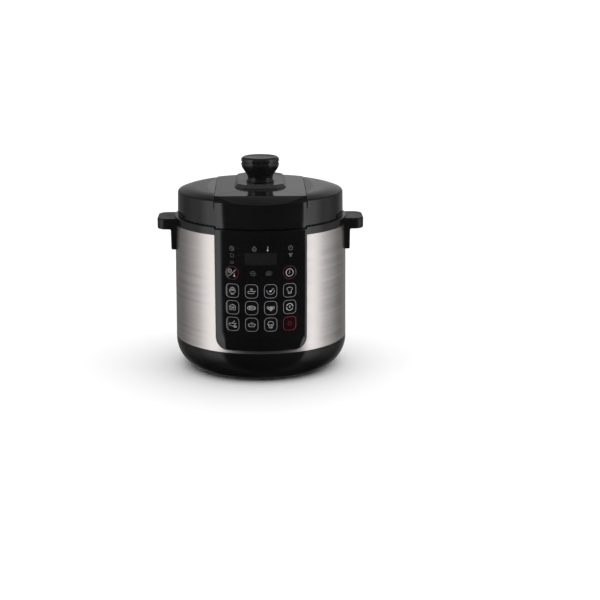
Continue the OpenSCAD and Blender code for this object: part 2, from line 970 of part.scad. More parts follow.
module mains_inlet() {
    pin_y = inlet_y - inlet_d + 2;
    color([0.05, 0.05, 0.05]) {
        difference() {
            union() {
                translate([0, inlet_y, inlet_z])
                    rotate([-90, 0, 0])
                        linear_extrude(inlet_flange_t)
                            rounded_rect(inlet_flange_w, inlet_h + 6, 3);
                translate([0, inlet_y - inlet_d, inlet_z])
                    rotate([-90, 0, 0])
                        linear_extrude(inlet_d + 1)
                            square([inlet_w + 3.6, inlet_h + 3.6], center = true);
            }
            translate([0, pin_y, inlet_z])
                rotate([-90, 0, 0])
                    linear_extrude(inlet_d + 4)
                        square([inlet_w, inlet_h], center = true);
            for (s = [-1, 1])
                translate([s * inlet_screw_x, inlet_y - 1, inlet_z])
                    rotate([-90, 0, 0])
                        cylinder(r = screw_r, h = 6);
        }
        for (p = [[-7, -2], [7, -2], [0, 3]])
            translate([p[0] - 1, pin_y - 7, inlet_z + p[1] - 2])
                cube([2, 17, 4]);
    }
}

module inlet_screws() {
    color("silver")
    for (s = [-1, 1])
        translate([s * inlet_screw_x, inlet_y + inlet_flange_t + 1.6, inlet_z])
            rotate([90, 0, 0])
                screw(screw_r, 6.5, 3, 1.6);
}

module wire_harness() {
    tab_y = inlet_y - inlet_d - 5;
    y_edge = -28;
    z_run = board_floor_z + board_t + 1.5;
    color([0.6, 0.15, 0.1]) {
        wire([[-7, tab_y, inlet_z - 2], [-30, 70, z_run + 4], [-36, 0, z_run], [-30, y_edge - 6, z_run]], 1.6);
        wire([[7, tab_y, inlet_z - 2], [30, 70, z_run + 4], [36, 0, z_run], [30, y_edge - 6, z_run]], 1.6);
        for (s = [-1, 1])
            wire([
                [s * element_r * sin(terminal_angle / 2), element_r * cos(terminal_angle / 2), plate_bottom - 11],
                [s * 58, 30, z_run + 9], [s * 44, y_edge - 10, z_run]
            ], 1.6);
    }
}

// ---- Inner pot ----

// The pot's closed outline, inset from its outer surface.
module pot_outline(inset = 0) {
    foot_r = pot_r - pot_taper;
    polygon([
        [0, pot_bottom + inset], [foot_r - pot_edge_r, pot_bottom + inset],
        [foot_r - pot_edge_r, pot_bottom + pot_edge_r], [foot_r - inset, pot_bottom + pot_edge_r],
        [pot_r - inset, flange_top + inset], [0, flange_top + inset]
    ]);
    intersection() {
        translate([foot_r - pot_edge_r, pot_bottom + pot_edge_r])
            circle(r = pot_edge_r - inset);
        translate([foot_r - pot_edge_r, pot_bottom])
            square([pot_edge_r, pot_edge_r]);
    }
}

module inner_pot() {
    color([0.23, 0.23, 0.24])
    rotate_extrude()
        difference() {
            union() {
                pot_outline();
                translate([pot_r - pot_t, flange_top - flange_t])
                    square([flange_r - pot_r + pot_t, flange_t]);
            }
            pot_outline(pot_t);
        }
}

// ---- Lid ----

// The solid under the band's surface, inset from it. It slopes down in front, and lies flush with
// the cover's shoulder behind.
module band_solid(inset = 0) {
    side_r = band_r - (inset > 0 ? band_proud - 0.1 : 0);
    cone_r = 9;
    edge = band_r - band_slope_w;
    front_z = side_top - 3 - inset;
    top = lid_top - inset;
    rear_r = lid_r - lid_draft - shoulder_w;
    rear_fall = (lid_top - side_top) / shoulder_w;
    out = band_r + 5;
    difference() {
        intersection() {
            rotate_extrude()
                polygon([
                    [0, panel_top + 0.5], [side_r, panel_top + 0.5], [side_r, side_top - 1.8 - inset],
                    [side_r - cone_r, top], [0, top]
                ]);
            rotate([90, 0, 90])
                linear_extrude(4 * band_half_w, center = true)
                    polygon([
                        [-band_r, 0], [band_r, 0], [band_r, top + 1], [-edge + 1, top + 1],
                        [-edge, top], [-band_r, front_z]
                    ]);
        }
        intersection() {
            rotate_extrude()
                polygon([
                    [rear_r - 1 / rear_fall, top + 1], [out, top + 1], [out, top - (out - rear_r) * rear_fall]
                ]);
            translate([-out, 0, 0])
                cube([2 * out, out, 2 * lid_top]);
        }
    }
}

module valve_holes(r_pipe, r_float, r_spindle) {
    translate([0, valve_y, pan_z])
        cylinder(r = r_pipe, h = 100);
    translate([float_x, float_y, pan_z])
        cylinder(r = r_float, h = 100);
    translate([0, 0, pan_z])
        cylinder(r = r_spindle, h = 100);
}

module lid_cover() {
    color([0.03, 0.03, 0.035])
    difference() {
        union() {
            difference() {
                rotate_extrude()
                    polygon([
                        [0, lid_z], [lid_r, lid_z], [lid_r - lid_draft, side_top],
                        [lid_r - lid_draft - shoulder_w, lid_top], [0, lid_top]
                    ]);
                rotate_extrude()
                    polygon([
                        [0, lid_z - 1], [skirt_in_r, lid_z - 1], [skirt_in_r - lid_draft, side_top - 7.5],
                        [lid_r - shoulder_w - 5, lid_top - lid_top_t - 0.6],
                        [lid_r - shoulder_w - 8, lid_top - lid_top_t], [0, lid_top - lid_top_t]
                    ]);
                difference() {
                    translate([-band_half_w - 0.3, -200, side_top - 12])
                        cube([2 * band_half_w + 0.6, 400, 60]);
                    band_solid(band_t);
                }
            }
            for (a = BOSS_ANGLES)
                rotate(a)
                    translate([boss_ring_r, 0, pan_mid + pan_t])
                        cylinder(r = boss_r, h = lid_top - lid_top_t - pan_mid - pan_t + 1);
        }
        for (a = BOSS_ANGLES)
            rotate(a)
                translate([boss_ring_r, 0, pan_mid])
                    cylinder(r = screw_r, h = 14);
        valve_holes(pipe_r + 1, float_r + 1, spindle_r + 1);
    }
}

module lid_band() {
    color([0.03, 0.03, 0.035])
    difference() {
        intersection() {
            band_solid();
            translate([-band_half_w, -200, panel_top])
                cube([2 * band_half_w, 400, 100]);
        }
        band_solid(band_t);
        translate([0, 0, panel_top - 1])
            cylinder(r = lid_r + 0.1, h = lid_z - panel_top + 1 + e);
        valve_holes(pipe_r + 1, float_r + 1, spindle_r + 1);
    }
}

module plinth_outline(grow = 0) {
    x = plinth_w / 2 + grow;
    y0 = plinth_front - plinth_bevel + grow;
    y1 = plinth_back - plinth_bevel + grow;
    c = plinth_corner;
    polygon([
        [-x + c, -y0], [x - c, -y0], [x, -y0 + c], [x, y1 - c],
        [x - c, y1], [-x + c, y1], [-x, y1 - c], [-x, -y0 + c]
    ]);
}

module lid_plinth() {
    color([0.04, 0.04, 0.045])
    difference() {
        hull() {
            translate([0, 0, lid_top])
                linear_extrude(e)
                    plinth_outline(plinth_bevel);
            translate([0, 0, plinth_top - e])
                linear_extrude(e)
                    plinth_outline();
        }
        valve_holes(pipe_r + 1, float_r + 0.5, spindle_r + run_fit);
    }
}

module inner_lid() {
    lip = seal_z + 1;
    color([0.7, 0.7, 0.72])
    difference() {
        rotate_extrude()
            polygon([
                [0, pan_mid], [pan_r - 18, pan_mid], [seal_groove_r - 1.6, pan_z - 1],
                [seal_groove_r - 1.6, lip], [seal_groove_r, lip],
                [seal_groove_r, pan_z], [pan_r - 1.6, pan_z], [pan_r - 1.6, lip],
                [pan_r, lip], [pan_r, pan_z + pan_t],
                [pan_r - 14, pan_z + pan_t], [pan_r - 18, pan_mid + pan_t], [0, pan_mid + pan_t]
            ]);
        for (a = BOSS_ANGLES)
            rotate(a)
                translate([boss_ring_r, 0, pan_mid - 1])
                    cylinder(r = screw_r, h = pan_t + 2);
        translate([0, valve_y, pan_mid - 1])
            cylinder(r = pipe_r, h = pan_t + 2);
        translate([float_x, float_y, pan_mid - 1])
            cylinder(r = 2 * float_r, h = pan_t + 2);
    }
}

module sealing_ring() {
    out = seal_r + 0.3;
    in = seal_groove_r + 0.1;
    color([0.85, 0.85, 0.83])
    rotate_extrude()
        polygon([
            [in, seal_z + 1.5], [in + 2, seal_z], [out - 2, seal_z], [out, seal_z + 1.5],
            [out, pan_z], [out - 3, pan_z], [out - 3, seal_z + 3], [in + 3, seal_z + 3],
            [in + 3, pan_z], [in, pan_z]
        ]);
}

module inner_lid_screws() {
    color("silver")
    for (a = BOSS_ANGLES)
        rotate(a)
            translate([boss_ring_r, 0, pan_mid - 2])
                screw(screw_r, 14, 3.6, 2);
}

module steam_pipe() {
    color("silver")
    translate([0, valve_y, pan_mid - 3])
        ring(pipe_r, 1.5, plinth_top + 10 - pan_mid + 3);
}

module steam_filter() {
    r = 12;
    h = 8;
    color([0.6, 0.6, 0.62])
    translate([0, valve_y, pan_mid - h])
        difference() {
            cylinder(r = r, h = h);
            translate([0, 0, 1.2])
                cylinder(r = r - 1.2, h = h);
            for (i = [0 : 11])
                rotate(i * 30)
                    translate([6, -0.7, 2.4])
                        cube([r, 1.4, 3.6]);
        }
}

module float_guide() {
    color([0.7, 0.7, 0.72])
    translate([float_x, float_y, pan_mid])
        difference() {
            union() {
                cylinder(r = 2 * float_r, h = 14);
                translate([0, 0, pan_t])
                    cylinder(r = 2 * float_r + 2.5, h = 2);
            }
            translate([0, 0, -1])
                cylinder(r = float_r + run_fit, h = 20);
        }
}

module float_pin() {
    head_h = 2.4;
    color([0.75, 0.15, 0.12])
    translate([float_x, float_y, pan_mid - float_down - head_h]) {
        cylinder(r = 1.6 * float_r, h = head_h);
        cylinder(r = float_r, h = plinth_top - 0.6 - pan_mid + float_down + head_h);
    }
}

module steam_valve() {
    bore_h = 10;
    color([0.05, 0.05, 0.05])
    translate([0, valve_y, plinth_top + clear])
        difference() {
            union() {
                cylinder(r = valve_r - 2, h = valve_h - 4);
                translate([0, 0, 4])
                    cylinder(r = valve_r, h = valve_h - 6);
                translate([0, 0, valve_h - 2])
                    cylinder(r1 = valve_r, r2 = valve_r - 2, h = 2);
                translate([-3, 0, 5])
                    cube([6, valve_r + 6, 7]);
            }
            translate([0, 0, -1])
                cylinder(r = pipe_r + run_fit, h = bore_h + 1);
        }
}

// ---- Knob and lock ----

// Side outline of the knob: foot, waist, swelling head, rounded rim and dished top.
module knob_outline(inset = 0) {
    z0 = knob_z;
    h = knob_h;
    r = knob_r - inset;
    n = knob_neck_r - inset;
    polygon([
        [0, z0 + inset], [n, z0 + inset], [n, z0 + 0.2 * h], [n + 0.16 * (r - n), z0 + 0.28 * h],
        [n + 0.42 * (r - n), z0 + 0.38 * h], [n + 0.76 * (r - n), z0 + 0.52 * h],
        [n + 0.93 * (r - n), z0 + 0.62 * h], [r, z0 + 0.76 * h], [r, z0 + 0.88 * h - inset],
        [r - 0.8, z0 + 0.95 * h - inset], [r - 3, z0 + h - inset],
        [r - 8, z0 + h - 1.5 - inset], [0, z0 + h - 3 - inset]
    ]);
}

module knob() {
    socket_r = spindle_r + 4;
    color([0.04, 0.04, 0.045])
    rotate_extrude()
        difference() {
            knob_outline();
            difference() {
                knob_outline(shell_t);
                square([socket_r, knob_z + knob_h]);
            }
            translate([socket_r, knob_z - 1])
                square([knob_neck_r - shell_t - socket_r, shell_t + 2]);
            translate([0, knob_z - 1])
                square([spindle_r, 1 + 0.7 * knob_h]);
        }
}

module knob_spindle() {
    color("silver")
    translate([0, 0, arm_z - nut_h])
        cylinder(r = spindle_r, h = knob_z + 0.7 * knob_h - arm_z + nut_h);
}

module spindle_nut() {
    color("silver")
    translate([0, 0, arm_z - nut_h])
        difference() {
            cylinder(r = spindle_r + 4, h = nut_h, $fn = 6);
            translate([0, 0, -1])
                cylinder(r = spindle_r, h = nut_h + 2);
        }
}

module lock_ring() {
    ring_z = pan_z + pan_t + clear;
    color([0.6, 0.6, 0.62])
    difference() {
        union() {
            translate([0, 0, ring_z])
                ring(ring_r, ring_r - ring_t, arm_z + arm_t - ring_z);
            translate([0, 0, ring_z])
                ring(ring_r - ring_t + e, pan_r - 5, 2);
            translate([0, 0, arm_z])
                cylinder(r = hub_r, h = arm_t);
            for (a = ARM_ANGLES)
                rotate(a)
                    translate([hub_r - 3, -arm_w / 2, arm_z])
                        cube([ring_r - 1 - hub_r + 3, arm_w, arm_t]);
            for (i = [0 : lug_count - 1])
                translate([0, 0, ring_lug_z])
                    arc_block(rim_in_r - 0.8, ring_r - 0.5, lug_t, i * lug_pitch, lug_span);
        }
        translate([0, 0, arm_z - 1])
            cylinder(r = spindle_r, h = arm_t + 2);
    }
}

base_bowl();
feet();
foot_pads();
foot_screws();
outer_wall();
collar();
handle_left();
handle_right();
handle_screws();
panel_fascia();
display_window();
display_module();
light_pipes();
control_board();
key_switches();
for (i = [0 : KEY_COLS * KEY_ROWS - 1])
    square_key(i);
key_mode();
key_minus();
key_plus();
key_timer();
pressure_well();
reflector_sleeve();
heating_plate();
heating_element();
temperature_sensor();
sensor_spring();
sensor_holder();
pressure_switch();
thermal_fuse();
power_board();
mains_inlet();
inlet_screws();
wire_harness();
inner_pot();
lid_cover();
lid_band();
lid_plinth();
inner_lid();
sealing_ring();
inner_lid_screws();
steam_pipe();
steam_filter();
float_guide();
float_pin();
steam_valve();
knob();
knob_spindle();
lock_ring();
spindle_nut();
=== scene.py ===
import logging
import math
from collections.abc import Callable, Iterable, Sequence
from dataclasses import dataclass, field
from enum import Enum

import bmesh
import bpy
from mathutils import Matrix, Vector


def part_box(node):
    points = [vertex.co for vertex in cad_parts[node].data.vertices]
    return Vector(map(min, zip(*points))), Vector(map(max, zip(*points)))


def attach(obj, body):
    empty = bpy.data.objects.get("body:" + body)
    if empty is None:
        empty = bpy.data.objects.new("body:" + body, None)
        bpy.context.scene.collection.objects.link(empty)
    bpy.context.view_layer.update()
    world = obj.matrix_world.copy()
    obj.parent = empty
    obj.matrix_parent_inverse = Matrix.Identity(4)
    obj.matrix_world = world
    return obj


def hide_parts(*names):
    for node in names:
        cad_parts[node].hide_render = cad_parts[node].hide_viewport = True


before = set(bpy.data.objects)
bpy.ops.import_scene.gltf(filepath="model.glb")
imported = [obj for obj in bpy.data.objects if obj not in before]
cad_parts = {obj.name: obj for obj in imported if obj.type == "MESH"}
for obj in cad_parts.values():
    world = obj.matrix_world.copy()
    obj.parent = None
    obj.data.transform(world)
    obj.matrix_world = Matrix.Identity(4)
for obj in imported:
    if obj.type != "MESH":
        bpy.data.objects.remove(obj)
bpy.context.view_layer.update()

MM = 0.001
PAST = 0.01  # how far a cutter reaches past what it cuts
FAR = 0.2  # further than any side of the cooker
ALONG = 0.9  # the least share of a unit direction that counts as along an axis
LOG = logging.getLogger("pressure_cooker")
Point = tuple[float, float]
Outline = tuple[float, float, float, float]
Test = Callable[[Vector, Vector], bool]


# ---- Mesh work ----


class Boolean(Enum):
    """How one piece is combined with another."""

    CUT = "DIFFERENCE"
    ADD = "UNION"
    KEEP = "INTERSECT"


class Edit:
    """Edit mode on one object, with a selection made by place and direction."""

    def __init__(self, obj: bpy.types.Object) -> None:
        """Remembers the object.

        Args:
            obj: The mesh object to edit.
        """
        self.obj = obj

    def __enter__(self) -> "Edit":
        """Starts edit mode."""
        pick(self.obj)
        bpy.ops.object.mode_set(mode="EDIT")
        return self

    def __exit__(self, *_error: object) -> None:
        """Ends edit mode."""
        bpy.ops.object.mode_set(mode="OBJECT")

    def everything(self) -> None:
        """Selects the whole mesh."""
        bpy.ops.mesh.select_all(action="SELECT")

    def _select(self, mode: str, test: Test) -> None:
        """Selects the elements of one kind that pass a test.

        Args:
            mode: VERT, EDGE or FACE.
            test: Takes an element's middle, and its normal, or its direction for an edge.
        """
        bpy.ops.mesh.select_mode(type=mode)
        bpy.ops.mesh.select_all(action="DESELECT")
        mesh = bmesh.from_edit_mesh(self.obj.data)
        if mode == "VERT":
            rows = [(v, v.co, v.normal) for v in mesh.verts]
        elif mode == "EDGE":
            rows = [
                (e, (e.verts[0].co + e.verts[1].co) / 2, (e.verts[1].co - e.verts[0].co).normalized())
                for e in mesh.edges
            ]
        else:
            rows = [(f, f.calc_center_median(), f.normal) for f in mesh.faces]
        for element, middle, direction in rows:
            if test(middle, direction):
                element.select_set(True)
        mesh.select_flush_mode()
        bmesh.update_edit_mesh(self.obj.data)

    def vertices(self, test: Test) -> None:
        """Selects vertices by their place and normal."""
        self._select("VERT", test)

    def edges(self, test: Test) -> None:
        """Selects edges by their middle and direction."""
        self._select("EDGE", test)

    def faces(self, test: Test) -> None:
        """Selects faces by their middle and normal."""
        self._select("FACE", test)


def pick(obj: bpy.types.Object) -> None:
    """Makes an object the only selected one, and the active one.

    Args:
        obj: The object.
    """
    bpy.ops.object.select_all(action="DESELECT")
    obj.select_set(True)
    bpy.context.view_layer.objects.active = obj


def newest(name: str) -> bpy.types.Object:
    """Names the primitive that was just added.

    Args:
        name: Its new name.

    Returns:
        The object.
    """
    obj = bpy.context.active_object
    obj.name = name
    obj.data.name = name
    return obj


def block(name: str, low: Sequence[float], high: Sequence[float]) -> bpy.types.Object:
    """Adds a box between two corners, to be shaped further.

    Args:
        name: The piece's name.
        low: Its lowest corner.
        high: Its highest corner.

    Returns:
        The box, with its place in its mesh.
    """
    low, high = Vector(low), Vector(high)
    bpy.ops.object.select_all(action="DESELECT")
    bpy.ops.mesh.primitive_cube_add(size=1, location=(low + high) / 2, scale=high - low)
    obj = newest(name)
    bpy.ops.object.transform_apply()
    return obj


def rod(
    name: str, radius: float, start: Sequence[float], end: Sequence[float], sides: int = 64
) -> bpy.types.Object:
    """Adds a round rod between two points, to be shaped further or to cut a hole.

    Args:
        name: The piece's name.
        radius: Its radius.
        start: The middle of one end.
        end: The middle of the other end.
        sides: How many flats make it round.

    Returns:
        The rod, with its place in its mesh.
    """
    start, end = Vector(start), Vector(end)
    turn = (end - start).to_track_quat("Z", "Y").to_euler()
    bpy.ops.object.select_all(action="DESELECT")
    bpy.ops.mesh.primitive_cylinder_add(
        vertices=sides, radius=radius, depth=(end - start).length, location=(start + end) / 2, rotation=turn
    )
    obj = newest(name)
    bpy.ops.object.transform_apply()
    return obj


def join(pieces: Sequence[bpy.types.Object]) -> bpy.types.Object:
    """Joins pieces into the first of them.

    Args:
        pieces: The objects to join.

    Returns:
        The first object.
    """
    pick(pieces[0])
    for obj in pieces[1:]:
        obj.select_set(True)
    if len(pieces) > 1:
        bpy.ops.object.join()
    return pieces[0]


def combine(obj: bpy.types.Object, other: bpy.types.Object, how: Boolean) -> bpy.types.Object:
    """Cuts, adds or keeps one piece with another, which is then removed.

    Args:
        obj: The piece that is changed.
        other: The tool.
        how: The operation.

    Returns:
        The changed piece.
    """
    pick(obj)
    modifier = obj.modifiers.new("combine", "BOOLEAN")
    modifier.object = other
    modifier.operation = how.value
    modifier.solver = "EXACT"
    bpy.ops.object.modifier_apply(modifier=modifier.name)
    bpy.data.objects.remove(other)
    return obj


def soften(obj: bpy.types.Object, width: float, segments: int = 3, angle: float = 30.0) -> None:
    """Rounds every edge that is sharper than an angle.

    Args:
        obj: The piece.
        width: Width of the rounding.
        segments: How many flats make it round.
        angle: The least angle, in degrees, of an edge that is rounded.
    """
    pick(obj)
    modifier = obj.modifiers.new("edges", "BEVEL")
    modifier.width = width
    modifier.segments = segments
    modifier.limit_method = "ANGLE"
    modifier.angle_limit = math.radians(angle)
    modifier.miter_outer = "MITER_ARC"
    bpy.ops.object.modifier_apply(modifier=modifier.name)


def round_along(obj: bpy.types.Object, axis: str, width: float, segments: int) -> None:
    """Rounds the edges that run along one axis.

    Args:
        obj: The piece.
        axis: The axis: x, y or z.
        width: Width of the rounding.
        segments: How many flats make it round.
    """
    with Edit(obj) as edit:
        edit.edges(lambda _p, d: abs(getattr(d, axis)) > ALONG)
        bpy.ops.mesh.bevel(offset=width, segments=segments, affect="EDGES")


def fillets(corners: Iterable[tuple[float, ...]], steps: int = 6) -> list[Point]:
    """Rounds the corners of an outline.

    Args:
        corners: Each corner's radius from the axis, height, and optional fillet radius.
        steps: How many flats make each fillet.

    Returns:
        The points of the rounded outline.
    """
    rows = [(Vector((c[0], c[1], 0)), c[2] if len(c) > 2 else 0.0) for c in corners]
    points = []
    for i, (corner, radius) in enumerate(rows):
        if radius <= 0 or i in (0, len(rows) - 1):
            points.append((corner.x, corner.y))
            continue
        back, ahead = rows[i - 1][0] - corner, rows[i + 1][0] - corner
        half = back.angle(ahead) / 2
        reach = min(radius / math.tan(half), 0.49 * back.length, 0.49 * ahead.length)
        middle_way = (back.normalized() + ahead.normalized()).normalized()
        centre = corner + middle_way * (reach / math.cos(half))
        first = corner + back.normalized() * reach - centre
        last = corner + ahead.normalized() * reach - centre
        for k in range(steps + 1):
            p = centre + first.slerp(last, k / steps) * first.length
            points.append((p.x, p.y))
    return points


def arc(centre: Point, radius: float, start: float, end: float, steps: int) -> list[Point]:
    """Points along a circular arc.

    Args:
        centre: The arc's centre.
        radius: Its radius.
        start: Its first angle, in degrees.
        end: Its last angle, in degrees.
        steps: How many flats it has.

    Returns:
        The points, both ends included.
    """
    angles = [math.radians(start + (end - start) * i / steps) for i in range(steps + 1)]
    return [(centre[0] + radius * math.cos(a), centre[1] + radius * math.sin(a)) for a in angles]


def lathe(name: str, outline: Sequence[Point], steps: int = 192, closed: bool = True) -> bpy.types.Object:
    """Turns an outline round the cooker's axis.

    Args:
        name: The piece's name.
        outline: Points, each a radius and a height.
        steps: How many flats make the piece round.
        closed: Whether the outline's last point is joined to its first.

    Returns:
        The turned piece, with its faces outwards.
    """
    path = list(outline) + ([outline[0]] if closed else [])
    bpy.ops.object.select_all(action="DESELECT")
    bpy.ops.mesh.primitive_plane_add(size=2)
    obj = newest(name)
    with Edit(obj) as edit:
        edit.vertices(lambda p, _n: p.x < 0 or p.y < 0)
        bpy.ops.mesh.delete(type="VERT")
        edit.everything()
        bpy.ops.transform.translate(value=(path[0][0] - 1, -1, path[0][1]))
        for here, there in zip(path, path[1:]):
            step = (there[0] - here[0], 0, there[1] - here[1])
            bpy.ops.mesh.extrude_vertices_move(TRANSFORM_OT_translate={"value": step})
        edit.everything()
        bpy.ops.mesh.spin(steps=steps, angle=2 * math.pi, center=(0, 0, 0), axis=(0, 0, 1))
        edit.everything()
        bpy.ops.mesh.remove_doubles(threshold=0.001 * MM)
        bpy.ops.mesh.dissolve_degenerate(threshold=0.0001 * MM)
        edit.everything()
        bpy.ops.mesh.normals_make_consistent(inside=False)
    return obj


def slice_up(obj: bpy.types.Object, spacing: float) -> None:
    """Cuts a piece into strips along X, so that it can bend smoothly.

    Args:
        obj: The piece.
        spacing: The width of a strip.
    """
    xs = [v.co.x for v in obj.data.vertices]
    low, high = min(xs), max(xs)
    count = max(2, math.ceil((high - low) / spacing))
    with Edit(obj) as edit:
        for i in range(1, count):
            edit.everything()
            x = low + (high - low) * i / count
            bpy.ops.mesh.bisect(plane_co=(x, 0, 0), plane_no=(1, 0, 0))


def wrap(obj: bpy.types.Object, radius: float) -> None:
    """Bends a flat piece round the cooker's axis, with its plane Y = 0 at a radius.

    Args:
        obj: The flat piece, whose X is measured along the curved surface.
        radius: The radius of the surface.
    """
    pick(obj)
    xs = [v.co.x for v in obj.data.vertices]
    obj.location = (0, -radius, 0)
    modifier = obj.modifiers.new("wrap", "SIMPLE_DEFORM")
    modifier.deform_method = "BEND"
    modifier.deform_axis = "Z"
    modifier.angle = (max(xs) - min(xs)) / radius
    bpy.ops.object.modifier_apply(modifier=modifier.name)
    bpy.ops.object.transform_apply()


# ---- Shader effects ----


def add_node(
    tree: bpy.types.NodeTree, kind: str, inputs: dict[str | int, object] | None = None, **settings: object
) -> bpy.types.Node:
    """Adds a shader node, sets it and links it.

    Args:
        tree: The tree it goes in.
        kind: Its type.
        inputs: A value, or a socket to link from, for each named input.
        **settings: Attributes of the node.

    Returns:
        The node.
    """
    node = tree.nodes.new(kind)
    for key, value in settings.items():
        setattr(node, key, value)
    for key, value in (inputs or {}).items():
        if isinstance(value, bpy.types.NodeSocket):
            tree.links.new(value, node.inputs[key])
        else:
            node.inputs[key].default_value = value
    return node


def new_group(
    name: str, inputs: dict[str, float], outputs: Sequence[str]
) -> tuple[bpy.types.NodeTree, bpy.types.Node, bpy.types.Node]:
    """Starts a node group of plain numbers.

    Args:
        name: The group's name.
        inputs: Its inputs and their usual values.
        outputs: Its outputs.

    Returns:
        The group, its input node and its output node.
    """
    tree = bpy.data.node_groups.new(name, "ShaderNodeTree")
    for label, value in inputs.items():
        socket = tree.interface.new_socket(label, in_out="INPUT", socket_type="NodeSocketFloat")
        socket.default_value = value
    for label in outputs:
        tree.interface.new_socket(label, in_out="OUTPUT", socket_type="NodeSocketFloat")
    return tree, tree.nodes.new("NodeGroupInput"), tree.nodes.new("NodeGroupOutput")


def mottle_group() -> bpy.types.NodeTree:
    """A value that drifts over the surface, as handling and moulding leave it.

    Returns:
        The group, with inputs Scale, Low and High and output Value.
    """
    name = "mottle"
    if name in bpy.data.node_groups:
        return bpy.data.node_groups[name]
    tree, entry, exit_node = new_group(name, {"Scale": 20, "Low": 0.2, "High": 0.3}, ["Value"])
    place = add_node(tree, "ShaderNodeTexCoord").outputs["Object"]
    noise = add_node(
        tree, "ShaderNodeTexNoise", {"Vector": place, "Scale": entry.outputs["Scale"], "Detail": 5}
    )
    ranged = add_node(
        tree,
        "ShaderNodeMapRange",
        {
            "Value": noise.outputs["Fac"], "From Min": 0.3, "From Max": 0.7,
            "To Min": entry.outputs["Low"], "To Max": entry.outputs["High"],
        },
    )
    tree.links.new(ranged.outputs["Result"], exit_node.inputs["Value"])
    return tree


def grain_group() -> bpy.types.NodeTree:
    """The spark-eroded texture of a mould, as a height.

    Returns:
        The group, with input Scale and output Height.
    """
    name = "mould_grain"
    if name in bpy.data.node_groups:
        return bpy.data.node_groups[name]
    tree, entry, exit_node = new_group(name, {"Scale": 900}, ["Height"])
    place = add_node(tree, "ShaderNodeTexCoord").outputs["Object"]
    scale = entry.outputs["Scale"]
    cells = add_node(tree, "ShaderNodeTexVoronoi", {"Vector": place, "Scale": scale})
    noise = add_node(tree, "ShaderNodeTexNoise", {"Vector": place, "Scale": scale, "Detail": 3})
    total = add_node(
        tree, "ShaderNodeMath", {0: cells.outputs["Distance"], 1: noise.outputs["Fac"]}, operation="ADD"
    )
    tree.links.new(total.outputs[0], exit_node.inputs["Height"])
    return tree


def brushed_group() -> bpy.types.NodeTree:
    """Fine lines that run round the cooker's axis, as a belt or a lathe leaves them.

    Returns:
        The group, with inputs Lines and Length and outputs Height and Drift.
    """
    name = "brushed_lines"
    if name in bpy.data.node_groups:
        return bpy.data.node_groups[name]
    tree, entry, exit_node = new_group(name, {"Lines": 2500, "Length": 3}, ["Height", "Drift"])
    place = add_node(tree, "ShaderNodeTexCoord").outputs["Object"]
    split = add_node(tree, "ShaderNodeSeparateXYZ", {"Vector": place})
    x, y, z = (split.outputs[k] for k in "XYZ")
    angle = add_node(tree, "ShaderNodeMath", {0: y, 1: x}, operation="ARCTAN2")
    square_x = add_node(tree, "ShaderNodeMath", {0: x, 1: x}, operation="MULTIPLY")
    square_sum = add_node(
        tree, "ShaderNodeMath", {0: y, 1: y, 2: square_x.outputs[0]}, operation="MULTIPLY_ADD"
    )
    radius = add_node(tree, "ShaderNodeMath", {0: square_sum.outputs[0]}, operation="SQRT")
    scaled = [
        add_node(tree, "ShaderNodeMath", {0: value, 1: by}, operation="MULTIPLY").outputs[0]
        for value, by in (
            (angle.outputs[0], entry.outputs["Length"]),
            (z, entry.outputs["Lines"]),
            (radius.outputs[0], entry.outputs["Lines"]),
        )
    ]
    lines_at = add_node(tree, "ShaderNodeCombineXYZ", {0: scaled[0], 1: scaled[1], 2: scaled[2]})
    lines = add_node(
        tree, "ShaderNodeTexNoise", {"Vector": lines_at.outputs[0], "Scale": 1.0, "Detail": 4}
    )
    broad_at = add_node(
        tree, "ShaderNodeVectorMath", {0: lines_at.outputs[0], 1: (0.3, 0.2, 0.2)}, operation="MULTIPLY"
    )
    broad = add_node(
        tree, "ShaderNodeTexNoise", {"Vector": broad_at.outputs[0], "Scale": 1.0, "Detail": 3}
    )
    tree.links.new(lines.outputs["Fac"], exit_node.inputs["Height"])
    tree.links.new(broad.outputs["Fac"], exit_node.inputs["Drift"])
    return tree


def use_group(
    tree: bpy.types.NodeTree, group: bpy.types.NodeTree, inputs: dict[str | int, object]
) -> bpy.types.Node:
    """Places a node group in a material.

    Args:
        tree: The material's tree.
        group: The group.
        inputs: Its own values in this material.

    Returns:
        The group's node.
    """
    node = tree.nodes.new("ShaderNodeGroup")
    node.node_tree = group
    for key, value in inputs.items():
        node.inputs[key].default_value = value
    return node


def start_material(
    name: str, colour: Sequence[float], settings: dict[str, float]
) -> tuple[bpy.types.Material, bpy.types.NodeTree, bpy.types.Node]:
    """Starts a material round a Principled shader.

    Args:
        name: The material's name.
        colour: Its base colour.
        settings: The shader's other plain values.

    Returns:
        The material, its tree and its shader.
    """
    material = bpy.data.materials.new(name)
    material.use_nodes = True
    tree = material.node_tree
    shader = tree.nodes["Principled BSDF"]
    shader.inputs["Base Color"].default_value = (*colour, 1)
    for key, value in settings.items():
        shader.inputs[key].default_value = value
    return material, tree, shader


def tint_between(
    tree: bpy.types.NodeTree, amount: bpy.types.NodeSocket, dark: Sequence[float], light: Sequence[float]
) -> bpy.types.NodeSocket:
    """Mixes two colours by a mask.

    Args:
        tree: The material's tree.
        amount: The mask.
        dark: The colour where it is 0.
        light: The colour where it is 1.

    Returns:
        The mixed colour.
    """
    mix = add_node(tree, "ShaderNodeMix", {0: amount, 6: (*dark, 1), 7: (*light, 1)}, data_type="RGBA")
    return mix.outputs[2]


